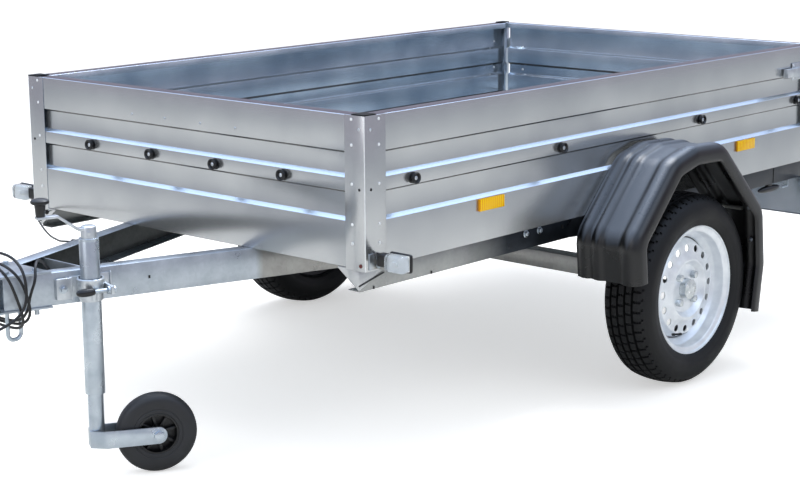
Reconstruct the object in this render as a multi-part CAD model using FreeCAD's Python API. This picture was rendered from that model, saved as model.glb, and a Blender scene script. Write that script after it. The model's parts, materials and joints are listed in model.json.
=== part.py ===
import FreeCAD, Part
import math
import os
from FreeCAD import Vector

# Utility trailer with a single axle, low sheet walls, a hinged tailgate, a V drawbar and a jockey wheel.
# Millimetres. +X points forward to the coupling, +Y to the trailer's left, +Z up.
# Places along the trailer are first measured from the axle, and every piece is moved once, when it
# is saved, so that the origin lies on the ground below the middle of the whole trailer.

# Load box: the swages lie at shares of the walls' height
box_front = 1187.0
box_rear = 943.0
box_width = 1290.0
wall_bottom = 513.0
wall_height = 371.0
sheet = 1.5
swage_depth = 11.0
swage_slope = 8.5
swage_lead = 6.0
lower_swage_low_share = 0.307
lower_swage_high_share = 0.504
upper_swage_low_share = 0.59
upper_swage_high_share = 0.763
rail_width = 43.0
rail_notch = 25.0
rail_gap = 1.5
rail_lip = 18.0
wall_foot = 30.0
floor_thickness = 15.0
floor_gap = 1.0
floor_rear_gap = 38.0

# Corner posts and their caps
post_side_width = 75.0
post_front_width = 65.0
post_foot_gap = 5.0
rear_post_width = 30.0
rear_post_return = 26.0
panel_corner_gap = 20.0
cap_thickness = 3.0
cap_lip = 12.0
cap_arm = 42.0

# Tailgate and its hinges
gate_side_gap = 7.0
gate_foot_gap = 3.0
gate_rail_width = 25.0
pivot_behind = 9.0
pivot_below = 8.0
hinge_end_inset = 188.0
hinge_leaf = 3.0
hinge_knuckle_radius = 6.0
hinge_pin_radius = 3.0
hinge_width = 60.0
hinge_gate_knuckle = 20.0
hinge_gap = 1.0
hinge_leaf_gap = 2.0
hinge_leaf_height = 48.0

# Sills and cross-members below the floor
sill_inset = 25.0
sill_height = 58.0
sill_flange = 40.0
sill_wall = 2.5
sill_front_setback = 7.0
sill_rear_setback = 3.0
member_flange = 40.0
member_end_gap = 0.5
middle_member_gap = 2.0
front_member_share = 0.43
rear_floor_member_share = -0.445
gusset_reach_side = 86.0
gusset_reach_front = 68.0
gusset_drop = 54.0
gusset_edge = 14.0

# V drawbar: its beams run forward to beam_front_x and would meet further on
beam_front_x = 1800.0
beam_apex_ahead = 150.0
beam_height = 80.0
beam_flange = 40.0
beam_wall = 3.0
beam_rear_x = 202.0
beam_sill_gap = 3.16
tie_behind = 220.0
tie_height = 72.0
tie_thickness = 4.0
nose_plate_thickness = 5.0
nose_plate_behind = 111.0
nose_plate_ahead = 42.0
nose_plate_overhang = 4.0
nose_bolt_radius = 6.0
nose_bolt_length = 16.0
nose_bolt_inset = 24.0

# Coupling head, held between the two nose plates
ball_ahead = 160.0
socket_radius = 25.2
socket_wall = 6.0
socket_skirt = 16.0
head_width = 56.0
head_wall = 4.0
head_behind = 60.0
head_slope = 70.0
handle_width = 30.0
handle_thickness = 6.0
handle_length = 96.0
handle_rise = 30.0

# Steel bail below the nose
bail_rod_radius = 5.0
bail_pitch = 38.0
bail_drop = 78.0
bail_behind = 38.0
bail_y = 32.0

# Axle with rubber suspension arms
axle_tube_x = 130.0
axle_tube_z = 327.0
axle_tube_size = 50.0
axle_tube_wall = 4.0
axle_tube_overreach = 2.0
arm_gap = 12.0
arm_thickness = 16.0
arm_end_radius = 30.0
arm_shaft_depth = 60.0
spindle_radius = 15.0
bracket_length = 110.0
bracket_width = 44.0
bracket_wall = 4.0
bracket_inset = 25.0

# Road wheels: tyre 155/70 on a 13 inch steel rim
wheel_radius = 273.5
wheel_offset = 101.0
tyre_half_width = 76.0
tread_half_width = 50.0
tread_shoulder_drop = 5.0
tyre_bulge_share = 0.472
rim_flange_height = 18.5
rim_flange_y = 64.0
bead_gap = 0.5
bead_width = 12.0
tyre_wall = 9.0
rim_wall = 3.0
rim_seat_radius = 165.0
rim_well_depth = 19.0
rim_well_inner_y = -30.0
rim_well_outer_y = 8.0
disc_face_y = 30.0
disc_ring_y = 36.0
disc_hat_y = 46.0
disc_hat_radius = 88.0
disc_hole_circle = 117.0
disc_hole_radius = 10.0
disc_hole_count = 16
disc_bore_radius = 29.0
hub_flange_radius = 66.0
hub_flange_thickness = 11.0
hub_barrel_radius = 36.0
hub_nose_radius = 28.0
hub_nose_length = 20.0
hub_cap_wall = 4.0
hub_inner_y = 14.0
nut_circle = 50.0
nut_count = 4
nut_across = 19.0
nut_height = 15.0

# Mudguards: the arch is given along and up from the axle's foot, as shares of the wheel's radius
guard_outer_gap = 28.0
guard_wall = 3.0
guard_lip_width = 67.0
guard_lip_slope = 25.0
guard_lip_rise = 9.0
guard_round = 26.0
guard_face_drop = 44.0
guard_round_steps = 4
guard_rib_rise = 6.0
guard_rib_places = [37.0, 82.0]
guard_rib_half = 20.0
guard_arch_shares = [
    (1.218, 1.272),
    (1.261, 1.718),
    (0.585, 2.42),
    (0.219, 2.508),
    (-0.293, 2.49),
    (-1.097, 1.711),
    (-1.163, 1.097),
    (-1.086, 0.585),
]
guard_bend_radius = 80.0
guard_stay_radius = 6.0
guard_stay_inset = 15.0

# Front position lamps, side reflectors and cover buttons: places along the box are shares of its
# reach before or behind the axle, and heights are shares of the walls' height
lamp_setback = 24.0
lamp_rise = 27.0
lamp_base_length = 46.0
lamp_base_height = 40.0
lamp_base_reach = 44.0
lamp_lens_reach = 70.0
lamp_lens_height = 43.0
lamp_lens_length = 44.0
reflector_length = 100.0
reflector_height = 32.0
reflector_depth = 7.0
reflector_height_share = 0.26
reflector_place_shares = [0.6015, -0.55]
button_height_share = 0.547
button_side_shares = [0.855, 0.352, -0.277, -0.867]
button_end_shares = [0.577, 0.192]
button_head_radius = 14.5
button_neck_radius = 9.0
button_head_depth = 5.5
button_reach = 16.0
button_foot_depth = 3.5

# Tailgate latches
latch_height_share = 0.795
latch_height = 54.0
latch_length = 205.0
latch_rear_gap = 9.0
latch_plate = 3.0
latch_depth = 20.0
latch_lever_height = 26.0
striker_reach = 7.0
striker_root_inset = 20.0
striker_height = 36.0
striker_thickness = 4.0
striker_gap = 7.5

# Rear light bar
bar_setback = 26.0
bar_overhang = 20.0
bar_end_gap = 44.0
bar_drop = 125.0
bar_wall = 2.0
bar_flange = 12.0
tail_lamp_length = 206.0
tail_lamp_height = 74.0
tail_lamp_inset = 4.0
tail_lamp_rise = 6.0
tail_lamp_body_depth = 22.0
tail_lamp_lens_depth = 18.0
tail_lamp_lens_inset = 5.0
plate_half = 260.0
plate_height = 110.0
plate_thickness = 1.5

# Jockey wheel
stem_behind = 181.0
stem_offset = 37.0
stem_tube_radius = 24.0
stem_tube_wall = 2.5
stem_below_clamp = 261.0
stem_above_clamp = 123.0
inner_tube_radius = 19.0
inner_tube_overlap = 207.0
clamp_wall = 5.0
clamp_height = 52.0
clamp_rise = 41.0
clamp_plate_ahead = 48.0
clamp_plate_behind = 38.0
clamp_plate_thickness = 5.0
clamp_ear = 3.0
clamp_lug_thickness = 8.0
clamp_ear_thickness = 6.0
clamp_bolt_radius = 5.0
clamp_lever_length = 84.0
clamp_lever_gap = 1.5
clamp_grip_length = 44.0
clamp_grip_radius = 9.0
jockey_radius = 100.0
jockey_width = 50.0
jockey_rim_radius = 52.0
jockey_trail = 145.0
jockey_heading_deg = 149.2
jockey_hub_radius = 17.0
jockey_hub_half = 29.0
jockey_window_radius = 7.0
jockey_window_circle = 32.0
jockey_window_count = 8
jockey_bolt_radius = 8.0
fork_height = 42.0
fork_wall = 5.0
fork_side_gap = 6.0
crank_rise = 26.0
crank_collar_radius = 26.0
crank_collar_height = 20.0
crank_strap_width = 22.0
crank_strap_thickness = 6.0
crank_reach = 117.0
crank_first_reach = 54.0
crank_lift = 24.0
crank_grip_radius = 12.0
crank_grip_length = 44.0
crank_knob_radius = 20.0
crank_knob_height = 14.0
crank_heading_deg = -17.0

# Thin cable to the front lamps
wire_diameter = 5.0
wire_route = [
    (1188.5, -590.0, 500.5),
    (1204.5, -590.0, 500.3),
    (1221.4, -583.8, 499.5),
    (1238.3, -569.7, 498.0),
    (1255.3, -539.1, 495.5),
    (1282.0, -490.0, 491.5),
    (1310.0, -437.0, 488.5),
    (1338.0, -383.0, 488.0),
    (1365.0, -330.0, 490.5),
    (1391.5, -277.3, 497.0),
    (1413.4, -238.0, 502.0),
    (1415.7, -212.1, 505.0),
    (1408.8, -191.2, 506.0),
]
wire_grommet_radius = 7.0
wire_grommet_depth = 3.0
wire_clip_depth = 11.9

# Lead to the towing vehicle: out of the tie plate, three loose turns round the nose, and down to
# its plug. A turn lies a little further out than the one before, so that they can cross.
lead_diameter = 7.0
lead_first_points = [
    (1599.0, 36.0, 478.0),
    (1615.0, 36.0, 478.5),
    (1633.0, 36.0, 484.0),
    (1649.0, 36.5, 500.0),
    (1665.0, 38.5, 521.0),
    (1686.0, 47.0, 538.0),
    (1711.0, 66.0, 545.0),
    (1735.0, 89.0, 537.0),
    (1748.0, 106.0, 509.0),
]
lead_last_points = [
    (1779.0, 112.0, 484.0),
    (1784.0, 112.0, 455.0),
    (1800.0, 106.0, 430.0),
    (1826.0, 98.0, 414.0),
    (1854.0, 90.0, 404.0),
    (1879.0, 84.0, 389.0),
    (1895.0, 80.0, 366.0),
    (1901.0, 79.0, 342.0),
    (1902.0, 79.0, 321.0),
]
lead_turn_points = 12
lead_first_step = 3
lead_last_step = 38
lead_top_places = [1740.0, 1802.0, 1834.0, 1779.0]
lead_bottom_places = [1764.0, 1758.0, 1762.0]
lead_slant_shares = [0.4, 0.36, 0.5]
lead_stand_off = 24.0
lead_layer = 9.0
lead_square_share = 0.6
lead_corner_share = 0.09
lead_gland_radius = 11.0
lead_gland_length = 15.0
lead_plug_radius = 21.0
lead_plug_length = 52.0
lead_plug_neck_radius = 10.0
lead_plug_neck_length = 20.0

# Shared limits
through = 400.0
seat_gap = 0.3
running_gap = 0.05

# Values worked out from the sizes above
half_box = box_width / 2
half_sill = half_box - sill_inset
half_panel = half_box - sheet
front_plane = box_front - sheet
rear_plane = sheet - box_rear
wall_top = wall_bottom + wall_height
floor_bottom = wall_bottom + sheet
sill_bottom = wall_bottom - sill_height
lower_swage_low = wall_bottom + lower_swage_low_share * wall_height
lower_swage_high = wall_bottom + lower_swage_high_share * wall_height
upper_swage_low = wall_bottom + upper_swage_low_share * wall_height
upper_swage_high = wall_bottom + upper_swage_high_share * wall_height
rear_member_x = -box_rear + sill_rear_setback
pivot_x = -box_rear - pivot_behind
pivot_z = wall_bottom - pivot_below
gate_half = half_box - rear_post_width - gate_side_gap
hinge_pitch = gate_half - hinge_end_inset
beam_bottom = wall_bottom - beam_height
beam_apex_x = beam_front_x + beam_apex_ahead
beam_slope_share = (half_sill - sill_flange - beam_sill_gap) / (beam_apex_x - beam_rear_x)
beam_angle = math.atan(beam_slope_share)
tie_x = beam_front_x - tie_behind
nose_plate_rear_x = beam_front_x - nose_plate_behind
nose_plate_front_x = beam_front_x + nose_plate_ahead
ball_x = beam_front_x + ball_ahead
bail_x = beam_front_x - bail_behind
axle_tube_half = half_sill + axle_tube_overreach
arm_inner_y = axle_tube_half + arm_gap
bracket_y = axle_tube_half - bracket_inset
wheel_y = half_box + wheel_offset
bead_radius = rim_seat_radius + bead_gap
rim_flange_radius = rim_seat_radius + rim_flange_height
rim_well_radius = rim_seat_radius - rim_well_depth
tyre_bulge_radius = rim_flange_radius + tyre_bulge_share * (wheel_radius - rim_flange_radius)
guard_outer_y = wheel_y + tyre_half_width + guard_outer_gap
guard_arch = [(x * wheel_radius, z * wheel_radius) for x, z in guard_arch_shares]
lamp_x = box_front - lamp_setback
lamp_z = wall_bottom + lamp_rise
reflector_z = wall_bottom + reflector_height_share * wall_height
button_z = wall_bottom + button_height_share * wall_height
latch_z = wall_bottom + latch_height_share * wall_height
latch_rear_x = latch_rear_gap - box_rear
latch_front_x = latch_rear_x + latch_length
bar_x = rear_member_x + bar_setback
bar_half = half_sill + bar_overhang
bar_bottom = sill_bottom - bar_drop
stem_x = beam_front_x - stem_behind
clamp_z = beam_bottom + clamp_rise
stem_tube_bottom = clamp_z - stem_below_clamp
stem_tube_top = clamp_z + stem_above_clamp
inner_tube_top = stem_tube_bottom + inner_tube_overlap
coupling_front = ball_x + socket_radius + socket_wall
rear_reach = -pivot_x + hinge_knuckle_radius
button_rear = -rear_plane + button_reach
origin_x = (coupling_front - max(rear_reach, button_rear)) / 2


def vec(x, y, z):
    return Vector(x, y, z)


def block(x0, x1, y0, y1, z0, z1):
    # Box between two corners, given in any order
    low = vec(min(x0, x1), min(y0, y1), min(z0, z1))
    return Part.makeBox(abs(x1 - x0), abs(y1 - y0), abs(z1 - z0), low)


def face_of(points):
    # Flat face inside a closed outline
    return Part.Face(Part.makePolygon(points + [points[0]]))


def prism_x(outline, x0, x1):
    # Outline in (y, z), pulled along X
    return face_of([vec(x0, y, z) for y, z in outline]).extrude(vec(x1 - x0, 0, 0))


def prism_y(outline, y0, y1):
    # Outline in (x, z), pulled along Y
    return face_of([vec(x, y0, z) for x, z in outline]).extrude(vec(0, y1 - y0, 0))


def prism_z(outline, z0, z1):
    # Outline in (x, y), pulled along Z
    return face_of([vec(x, y, z0) for x, y in outline]).extrude(vec(0, 0, z1 - z0))


def rod(start, end, radius):
    # Round bar between two points
    return Part.makeCylinder(radius, (end - start).Length, start, end - start)


def turned_y(outline, y_middle, x=0.0, z=0.0):
    # Outline in (radius, y from the middle plane), turned about a line along Y
    points = [vec(x + r, y_middle + y, z) for r, y in outline]
    return face_of(points).revolve(vec(x, y_middle, z), vec(0, 1, 0), 360)


def joined(shapes):
    # Shapes that touch or overlap, made one solid
    whole = shapes[0].multiFuse(shapes[1:]) if len(shapes) > 1 else shapes[0]
    return whole.removeSplitter()


def mirrored(shape):
    # The same piece on the trailer's other side
    return shape.mirror(vec(0, 0, 0), vec(0, 1, 0))


def both_sides(shape):
    return [shape, mirrored(shape)]


def spun_z(shape, x, y, degrees):
    # Shape turned about an upright line
    turned = shape.copy()
    turned.rotate(vec(x, y, 0), vec(0, 0, 1), degrees)
    return turned


def folded(points, thickness):
    # Closed outline of a bent sheet: a line of points and the same line set off to its right
    normals = []
    for (a0, b0), (a1, b1) in zip(points, points[1:]):
        run = math.hypot(a1 - a0, b1 - b0)
        normals.append(((b1 - b0) / run, (a0 - a1) / run))
    shifted = []
    for i, (a, b) in enumerate(points):
        before = normals[max(i - 1, 0)]
        after = normals[min(i, len(normals) - 1)]
        share = thickness / (1 + before[0] * after[0] + before[1] * after[1])
        shifted.append((a + (before[0] + after[0]) * share, b + (before[1] + after[1]) * share))
    return points + shifted[::-1]


def rounded_path(points, radius):
    # Wire through points whose corners are arcs, as large as the runs beside them allow
    edges = []
    cursor = points[0]
    for i in range(1, len(points) - 1):
        back = points[i - 1] - points[i]
        ahead = points[i + 1] - points[i]
        half_turn = (math.pi - back.getAngle(ahead)) / 2
        shorter = min(back.Length, ahead.Length)
        reach = 0.45 * shorter if radius is None else min(radius * math.tan(half_turn), 0.45 * shorter)
        start = points[i] + back.normalize() * reach
        end = points[i] + ahead.normalize() * reach
        bend = reach / math.tan(half_turn)
        to_centre = ((start + end) * 0.5 - points[i]).normalize()
        middle = points[i] + to_centre * (bend / math.cos(half_turn) - bend)
        edges.append(Part.makeLine(cursor, start))
        edges.append(Part.Arc(start, middle, end).toShape())
        cursor = end
    edges.append(Part.makeLine(cursor, points[-1]))
    return Part.Wire(edges)


def tube_along(points, diameter, label):
    # Round cord along straight runs joined by tangent arcs
    path = rounded_path(points, None)
    ring = Part.Wire(Part.Circle(points[0], points[1] - points[0], diameter / 2).toShape())
    tube = path.makePipeShell([ring], True, True)
    radii = [edge.Curve.Radius for edge in path.Edges if hasattr(edge.Curve, "Radius")]
    section = math.pi * diameter ** 2 / 4
    print(label, "length", round(path.Length), "least radius", round(min(radii), 1),
          "radii in diameters", [round(radius / diameter, 1) for radius in radii],
          "volume share", round(tube.Volume / (section * path.Length), 4))
    return tube


def save(node, solids):
    # One file for each node, with its origin moved to the trailer's own
    shape = solids[0].copy() if len(solids) == 1 else Part.makeCompound(solids)
    shape.translate(vec(-origin_x, 0, 0))
    shape.exportStep(os.path.join("parts", node + ".step"))


# Load box walls

def wall_line(bottom, rail):
    # Outer line of a wall's section, as (distance inward from the proud face, height)
    return [
        (wall_foot, bottom),
        (0, bottom),
        (0, lower_swage_low),
        (swage_depth, lower_swage_low + swage_slope),
        (swage_depth, lower_swage_high - swage_lead),
        (0, lower_swage_high),
        (0, upper_swage_low),
        (swage_depth, upper_swage_low + swage_slope),
        (swage_depth, upper_swage_high - swage_lead),
        (0, upper_swage_high),
        (0, wall_top),
        (rail, wall_top),
        (rail, wall_top - rail_lip),
    ]


def wall_section(bottom, rail):
    return folded(wall_line(bottom, rail), sheet)


side_front_x = front_plane - wall_foot - sheet
side_rear_x = cap_lip + sheet - box_rear


def side_panel():
    # Left wall: one swaged sheet with a foot under the floor and a folded rail on top, which is
    # narrower beside the tailgate
    outline = [(half_panel - inward, height) for inward, height in wall_section(wall_bottom, rail_width)]
    notch = block(side_rear_x, side_rear_x + rail_notch, 0, half_panel - gate_rail_width,
                  wall_top - rail_lip, wall_top)
    return prism_x(outline, side_rear_x, side_front_x).cut(notch)


def front_panel():
    # The front wall's rail is narrower where it meets the side walls' rails
    outline = [(front_plane - inward, height) for inward, height in wall_section(wall_bottom, rail_width)]
    reach = half_box - panel_corner_gap
    notch = block(front_plane - rail_width, side_front_x + rail_gap,
                  half_panel - rail_width - rail_gap, reach, wall_top - rail_lip, wall_top)
    return prism_y(outline, -reach, reach).cut(notch).cut(mirrored(notch))


def gate_panel():
    # The tailgate has the same swages, and a foot that stays above the hinge
    outline = [(rear_plane + inward, height)
               for inward, height in wall_section(wall_bottom + gate_foot_gap, gate_rail_width)]
    return prism_y(outline, -gate_half, gate_half)


def front_post():
    # Angle sheet over the left front corner
    outline = folded([
        (box_front - post_side_width, half_box),
        (box_front, half_box),
        (box_front, half_box - post_front_width),
    ], sheet)
    return prism_z(outline, wall_bottom - post_foot_gap, wall_top)


def rear_post():
    # Channel sheet at the left rear corner, open forward
    outline = folded([
        (-box_rear + rear_post_return, half_box - rear_post_width),
        (-box_rear, half_box - rear_post_width),
        (-box_rear, half_box),
        (-box_rear + post_side_width, half_box),
    ], sheet)
    return prism_z(outline, floor_bottom + sheet, wall_top)


def post_cap(front):
    # Moulded cap with a skirt that hangs inside the corner
    sign = 1 if front else -1
    corner_x = sign * (box_front if front else box_rear)
    wide = cap_arm if front else rear_post_width
    plate = block(corner_x, corner_x - sign * cap_arm, half_box, half_box - wide,
                  wall_top, wall_top + cap_thickness)
    inner_x = corner_x - sign * (sheet + seat_gap)
    inner_y = half_box - sheet - seat_gap
    skirt_x = sign * (box_front - sheet - panel_corner_gap / 2) if front else corner_x + cap_lip
    skirt = block(inner_x, skirt_x, inner_y, inner_y - cap_thickness, wall_top, wall_top - cap_lip)
    return joined([plate, skirt])


def load_floor():
    front = front_plane - sheet - floor_gap
    rear = -box_rear + floor_rear_gap
    reach = half_panel - sheet - floor_gap
    return block(rear, front, -reach, reach, floor_bottom, floor_bottom + floor_thickness)


# Frame below the floor

def sill():
    # Left sill: a channel open towards the middle
    outline = folded([
        (half_sill - sill_flange, sill_bottom),
        (half_sill, sill_bottom),
        (half_sill, wall_bottom),
        (half_sill - sill_flange, wall_bottom),
    ][::-1], sill_wall)
    return prism_x(outline, rear_member_x, box_front - sill_front_setback)


def beam_envelope(low, high, front, rear):
    # The straight bar that one drawbar beam fills
    outer_front = beam_slope_share * (beam_apex_x - front)
    outer_rear = beam_slope_share * (beam_apex_x - rear)
    inward = beam_flange / math.cos(beam_angle)
    return prism_z([
        (front, outer_front),
        (rear, outer_rear),
        (rear, outer_rear - inward),
        (front, outer_front - inward),
    ], low, high)


def drawbar_beam():
    # Left beam: a channel open towards the middle, cut square to the trailer at both ends
    length = (beam_front_x - beam_rear_x) / math.cos(beam_angle)
    outline = folded([
        (-beam_flange, beam_bottom),
        (0, beam_bottom),
        (0, wall_bottom),
        (-beam_flange, wall_bottom),
    ][::-1], beam_wall)
    bar = prism_x(outline, -beam_flange, length + beam_flange)
    bar.rotate(vec(0, 0, 0), vec(0, 0, 1), -math.degrees(beam_angle))
    bar.translate(vec(beam_rear_x, beam_slope_share * (beam_apex_x - beam_rear_x), 0))
    keep = block(beam_rear_x, beam_front_x, 0, box_width, beam_bottom, wall_bottom)
    return bar.common(keep)


def cross_member(web_x, opens):
    # Channel across the trailer, inside the sills and interrupted by the drawbar beams
    low = sill_bottom + sill_wall + member_end_gap
    high = wall_bottom - sill_wall - member_end_gap
    line = [
        (web_x + opens * member_flange, low),
        (web_x, low),
        (web_x, high),
        (web_x + opens * member_flange, high),
    ]
    outline = folded(line if opens > 0 else line[::-1], sill_wall)
    reach = half_sill - sill_wall
    bar = prism_y(outline, -reach, reach)
    room = beam_envelope(beam_bottom, wall_bottom, beam_front_x, beam_rear_x)
    return bar.cut(room).cut(mirrored(room)).Solids


def corner_gusset():
    # Folded plate under the left front corner, its lower edges cut slanting
    face = prism_x([
        (half_sill, wall_bottom),
        (half_sill, wall_bottom - gusset_drop),
        (half_sill - gusset_reach_front, wall_bottom - post_foot_gap),
        (half_sill - gusset_reach_front, wall_bottom),
    ], front_plane - sheet, front_plane)
    wing = prism_y([
        (front_plane, wall_bottom),
        (front_plane, wall_bottom - gusset_drop),
        (front_plane - gusset_reach_side, wall_bottom - gusset_edge),
        (front_plane - gusset_reach_side, wall_bottom),
    ], half_sill + seat_gap, half_sill + seat_gap + sheet)
    bridge = block(front_plane - sheet, front_plane, half_sill, half_sill + seat_gap + sheet,
                   wall_bottom - gusset_drop, wall_bottom)
    return joined([face, wing, bridge])


# Drawbar nose and coupling

def beam_outer_y(x):
    return beam_slope_share * (beam_apex_x - x)


def nose_plate(low):
    rear_y = beam_outer_y(nose_plate_rear_x) + nose_plate_overhang
    front_y = beam_outer_y(beam_front_x) + nose_plate_overhang
    return prism_z([
        (nose_plate_rear_x, rear_y),
        (nose_plate_rear_x, -rear_y),
        (beam_front_x, -front_y),
        (nose_plate_front_x, -front_y),
        (nose_plate_front_x, front_y),
        (beam_front_x, front_y),
    ], low, low + nose_plate_thickness)


def nose_plates():
    # Plates above and below the beams' ends, with two bolt ends below
    top = nose_plate(wall_bottom)
    bottom = nose_plate(beam_bottom - nose_plate_thickness)
    bolt_x = nose_plate_rear_x + nose_bolt_inset
    bolt_y = beam_outer_y(bolt_x) - beam_flange / 2
    under = beam_bottom - nose_plate_thickness
    bolt = rod(vec(bolt_x, bolt_y, under - nose_bolt_length), vec(bolt_x, bolt_y, under), nose_bolt_radius)
    return [top, joined([bottom, bolt, mirrored(bolt)])]


def tie_plate():
    # Upright plate between the beams, behind the jockey wheel clamp
    reach = beam_outer_y(tie_x) - beam_wall / math.cos(beam_angle) - seat_gap
    low = beam_bottom + beam_wall + (beam_height - 2 * beam_wall - tie_height) / 2
    slant = beam_slope_share * tie_thickness
    return prism_z([
        (tie_x, reach),
        (tie_x, -reach),
        (tie_x + tie_thickness, slant - reach),
        (tie_x + tie_thickness, reach - slant),
    ], low, low + tie_height)


head_bottom = beam_bottom + beam_wall + seat_gap
head_top = wall_bottom - beam_wall - seat_gap
head_rear_x = beam_front_x - head_behind
ball_z = head_bottom + socket_skirt
cup_radius = socket_radius + socket_wall


def head_outline(wall):
    # Side view of the housing, or of its hollow one wall inside, which is open below and behind
    return [
        (head_rear_x - wall, head_bottom - wall),
        (ball_x, head_bottom - wall),
        (ball_x, ball_z + socket_radius - wall),
        (ball_x - head_slope, head_top - wall),
        (head_rear_x - wall, head_top - wall),
    ]


def coupling_head():
    # Pressed housing that slopes down to a round cup, open below
    half = head_width / 2
    body = prism_y(head_outline(0), -half, half)
    hollow = prism_y(head_outline(head_wall), head_wall - half, half - head_wall)
    dome = Part.makeSphere(cup_radius, vec(ball_x, 0, ball_z))
    skirt = rod(vec(ball_x, 0, head_bottom), vec(ball_x, 0, ball_z), cup_radius)
    lower = block(ball_x - through, ball_x + through, -through, through, head_bottom - through, head_bottom)
    shell = joined([body.cut(hollow), dome.cut(lower), skirt])
    socket = Part.makeSphere(socket_radius, vec(ball_x, 0, ball_z))
    mouth = rod(vec(ball_x, 0, head_bottom), vec(ball_x, 0, ball_z), socket_radius)
    return shell.cut(socket).cut(mouth)


def coupling_handle():
    # Latch handle on the slope of the housing, rising behind it
    outline = folded([
        (ball_x - handle_length, head_top + handle_rise),
        (ball_x - head_slope, head_top + seat_gap),
        (ball_x, ball_z + cup_radius + seat_gap),
    ], -handle_thickness)
    return prism_y(outline, -handle_width / 2, handle_width / 2)


def nose_bail():
    # Bent rod loop welded below the bottom plate
    top = beam_bottom - nose_plate_thickness
    low = top - bail_drop + bail_rod_radius
    half = bail_pitch / 2
    path = rounded_path([
        vec(bail_x - half, bail_y, top),
        vec(bail_x - half, bail_y, low),
        vec(bail_x + half, bail_y, low),
        vec(bail_x + half, bail_y, top),
    ], half - bail_rod_radius / 2)
    ring = Part.Wire(Part.Circle(vec(bail_x - half, bail_y, top), vec(0, 0, 1), bail_rod_radius).toShape())
    return path.makePipeShell([ring], True, True)


# Axle and road wheels

def axle_tube():
    half = axle_tube_size / 2
    outer = block(axle_tube_x - half, axle_tube_x + half, -axle_tube_half, axle_tube_half,
                  axle_tube_z - half, axle_tube_z + half)
    inner = half - axle_tube_wall
    return outer.cut(block(axle_tube_x - inner, axle_tube_x + inner, -axle_tube_half, axle_tube_half,
                           axle_tube_z - inner, axle_tube_z + inner))


def axle_bracket():
    # Folded bracket between the axle tube and the left sill
    half = bracket_length / 2
    outline = folded([
        (axle_tube_x - half, bracket_y - bracket_width / 2),
        (axle_tube_x - half, bracket_y + bracket_width / 2),
        (axle_tube_x + half, bracket_y + bracket_width / 2),
        (axle_tube_x + half, bracket_y - bracket_width / 2),
    ], bracket_wall)
    low = axle_tube_z + axle_tube_size / 2
    walls = prism_z(outline, low, sill_bottom - bracket_wall)
    cap = block(axle_tube_x - half, axle_tube_x + half, bracket_y - bracket_width / 2,
                bracket_y + bracket_width / 2, sill_bottom - bracket_wall, sill_bottom)
    return joined([walls, cap])


def swing_arm():
    # Trailing arm with its inner shaft and the wheel's spindle
    near = arm_inner_y
    far = arm_inner_y + arm_thickness
    pivot = rod(vec(axle_tube_x, near, axle_tube_z), vec(axle_tube_x, far, axle_tube_z), arm_end_radius)
    eye = rod(vec(0, near, wheel_radius), vec(0, far, wheel_radius), arm_end_radius)
    angle = math.atan2(axle_tube_z - wheel_radius, axle_tube_x)
    side_x = arm_end_radius * math.sin(angle)
    side_z = arm_end_radius * math.cos(angle)
    web = prism_y([
        (-side_x, wheel_radius + side_z),
        (axle_tube_x - side_x, axle_tube_z + side_z),
        (axle_tube_x + side_x, axle_tube_z - side_z),
        (side_x, wheel_radius - side_z),
    ], near, far)
    shaft = rod(vec(axle_tube_x, axle_tube_half - arm_shaft_depth, axle_tube_z),
                vec(axle_tube_x, near, axle_tube_z), axle_tube_size / 2 - axle_tube_wall - seat_gap)
    spindle_end = wheel_y + disc_face_y + hub_nose_length - 2 * hub_cap_wall
    spindle = rod(vec(0, near, wheel_radius), vec(0, spindle_end, wheel_radius), spindle_radius)
    return joined([pivot, eye, web, shaft, spindle])


def tyre():
    # Left tyre: tread, rounded shoulders, bulged walls and two beads
    inner_bulge = tyre_half_width - tyre_wall
    half = [
        (wheel_radius, tread_half_width),
        (wheel_radius - tread_shoulder_drop, tread_half_width + tread_shoulder_drop * 2),
        (tyre_bulge_radius + tyre_wall * 2, tyre_half_width - tread_shoulder_drop / 2),
        (tyre_bulge_radius, tyre_half_width),
        (tyre_bulge_radius - tyre_wall * 2, tyre_half_width - tread_shoulder_drop / 2),
        (rim_flange_radius + seat_gap, rim_flange_y + rim_wall),
        (rim_flange_radius + seat_gap, rim_flange_y - rim_wall - seat_gap),
        (bead_radius, rim_flange_y - rim_wall - seat_gap),
        (bead_radius, rim_flange_y - rim_wall - bead_width),
        (rim_flange_radius, rim_flange_y - rim_wall - tyre_wall),
        (tyre_bulge_radius, inner_bulge),
        (wheel_radius - tyre_wall * 2, tread_half_width),
    ]
    outline = half + [(r, -y) for r, y in reversed(half)]
    return turned_y(outline, wheel_y, 0.0, wheel_radius)


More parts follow.
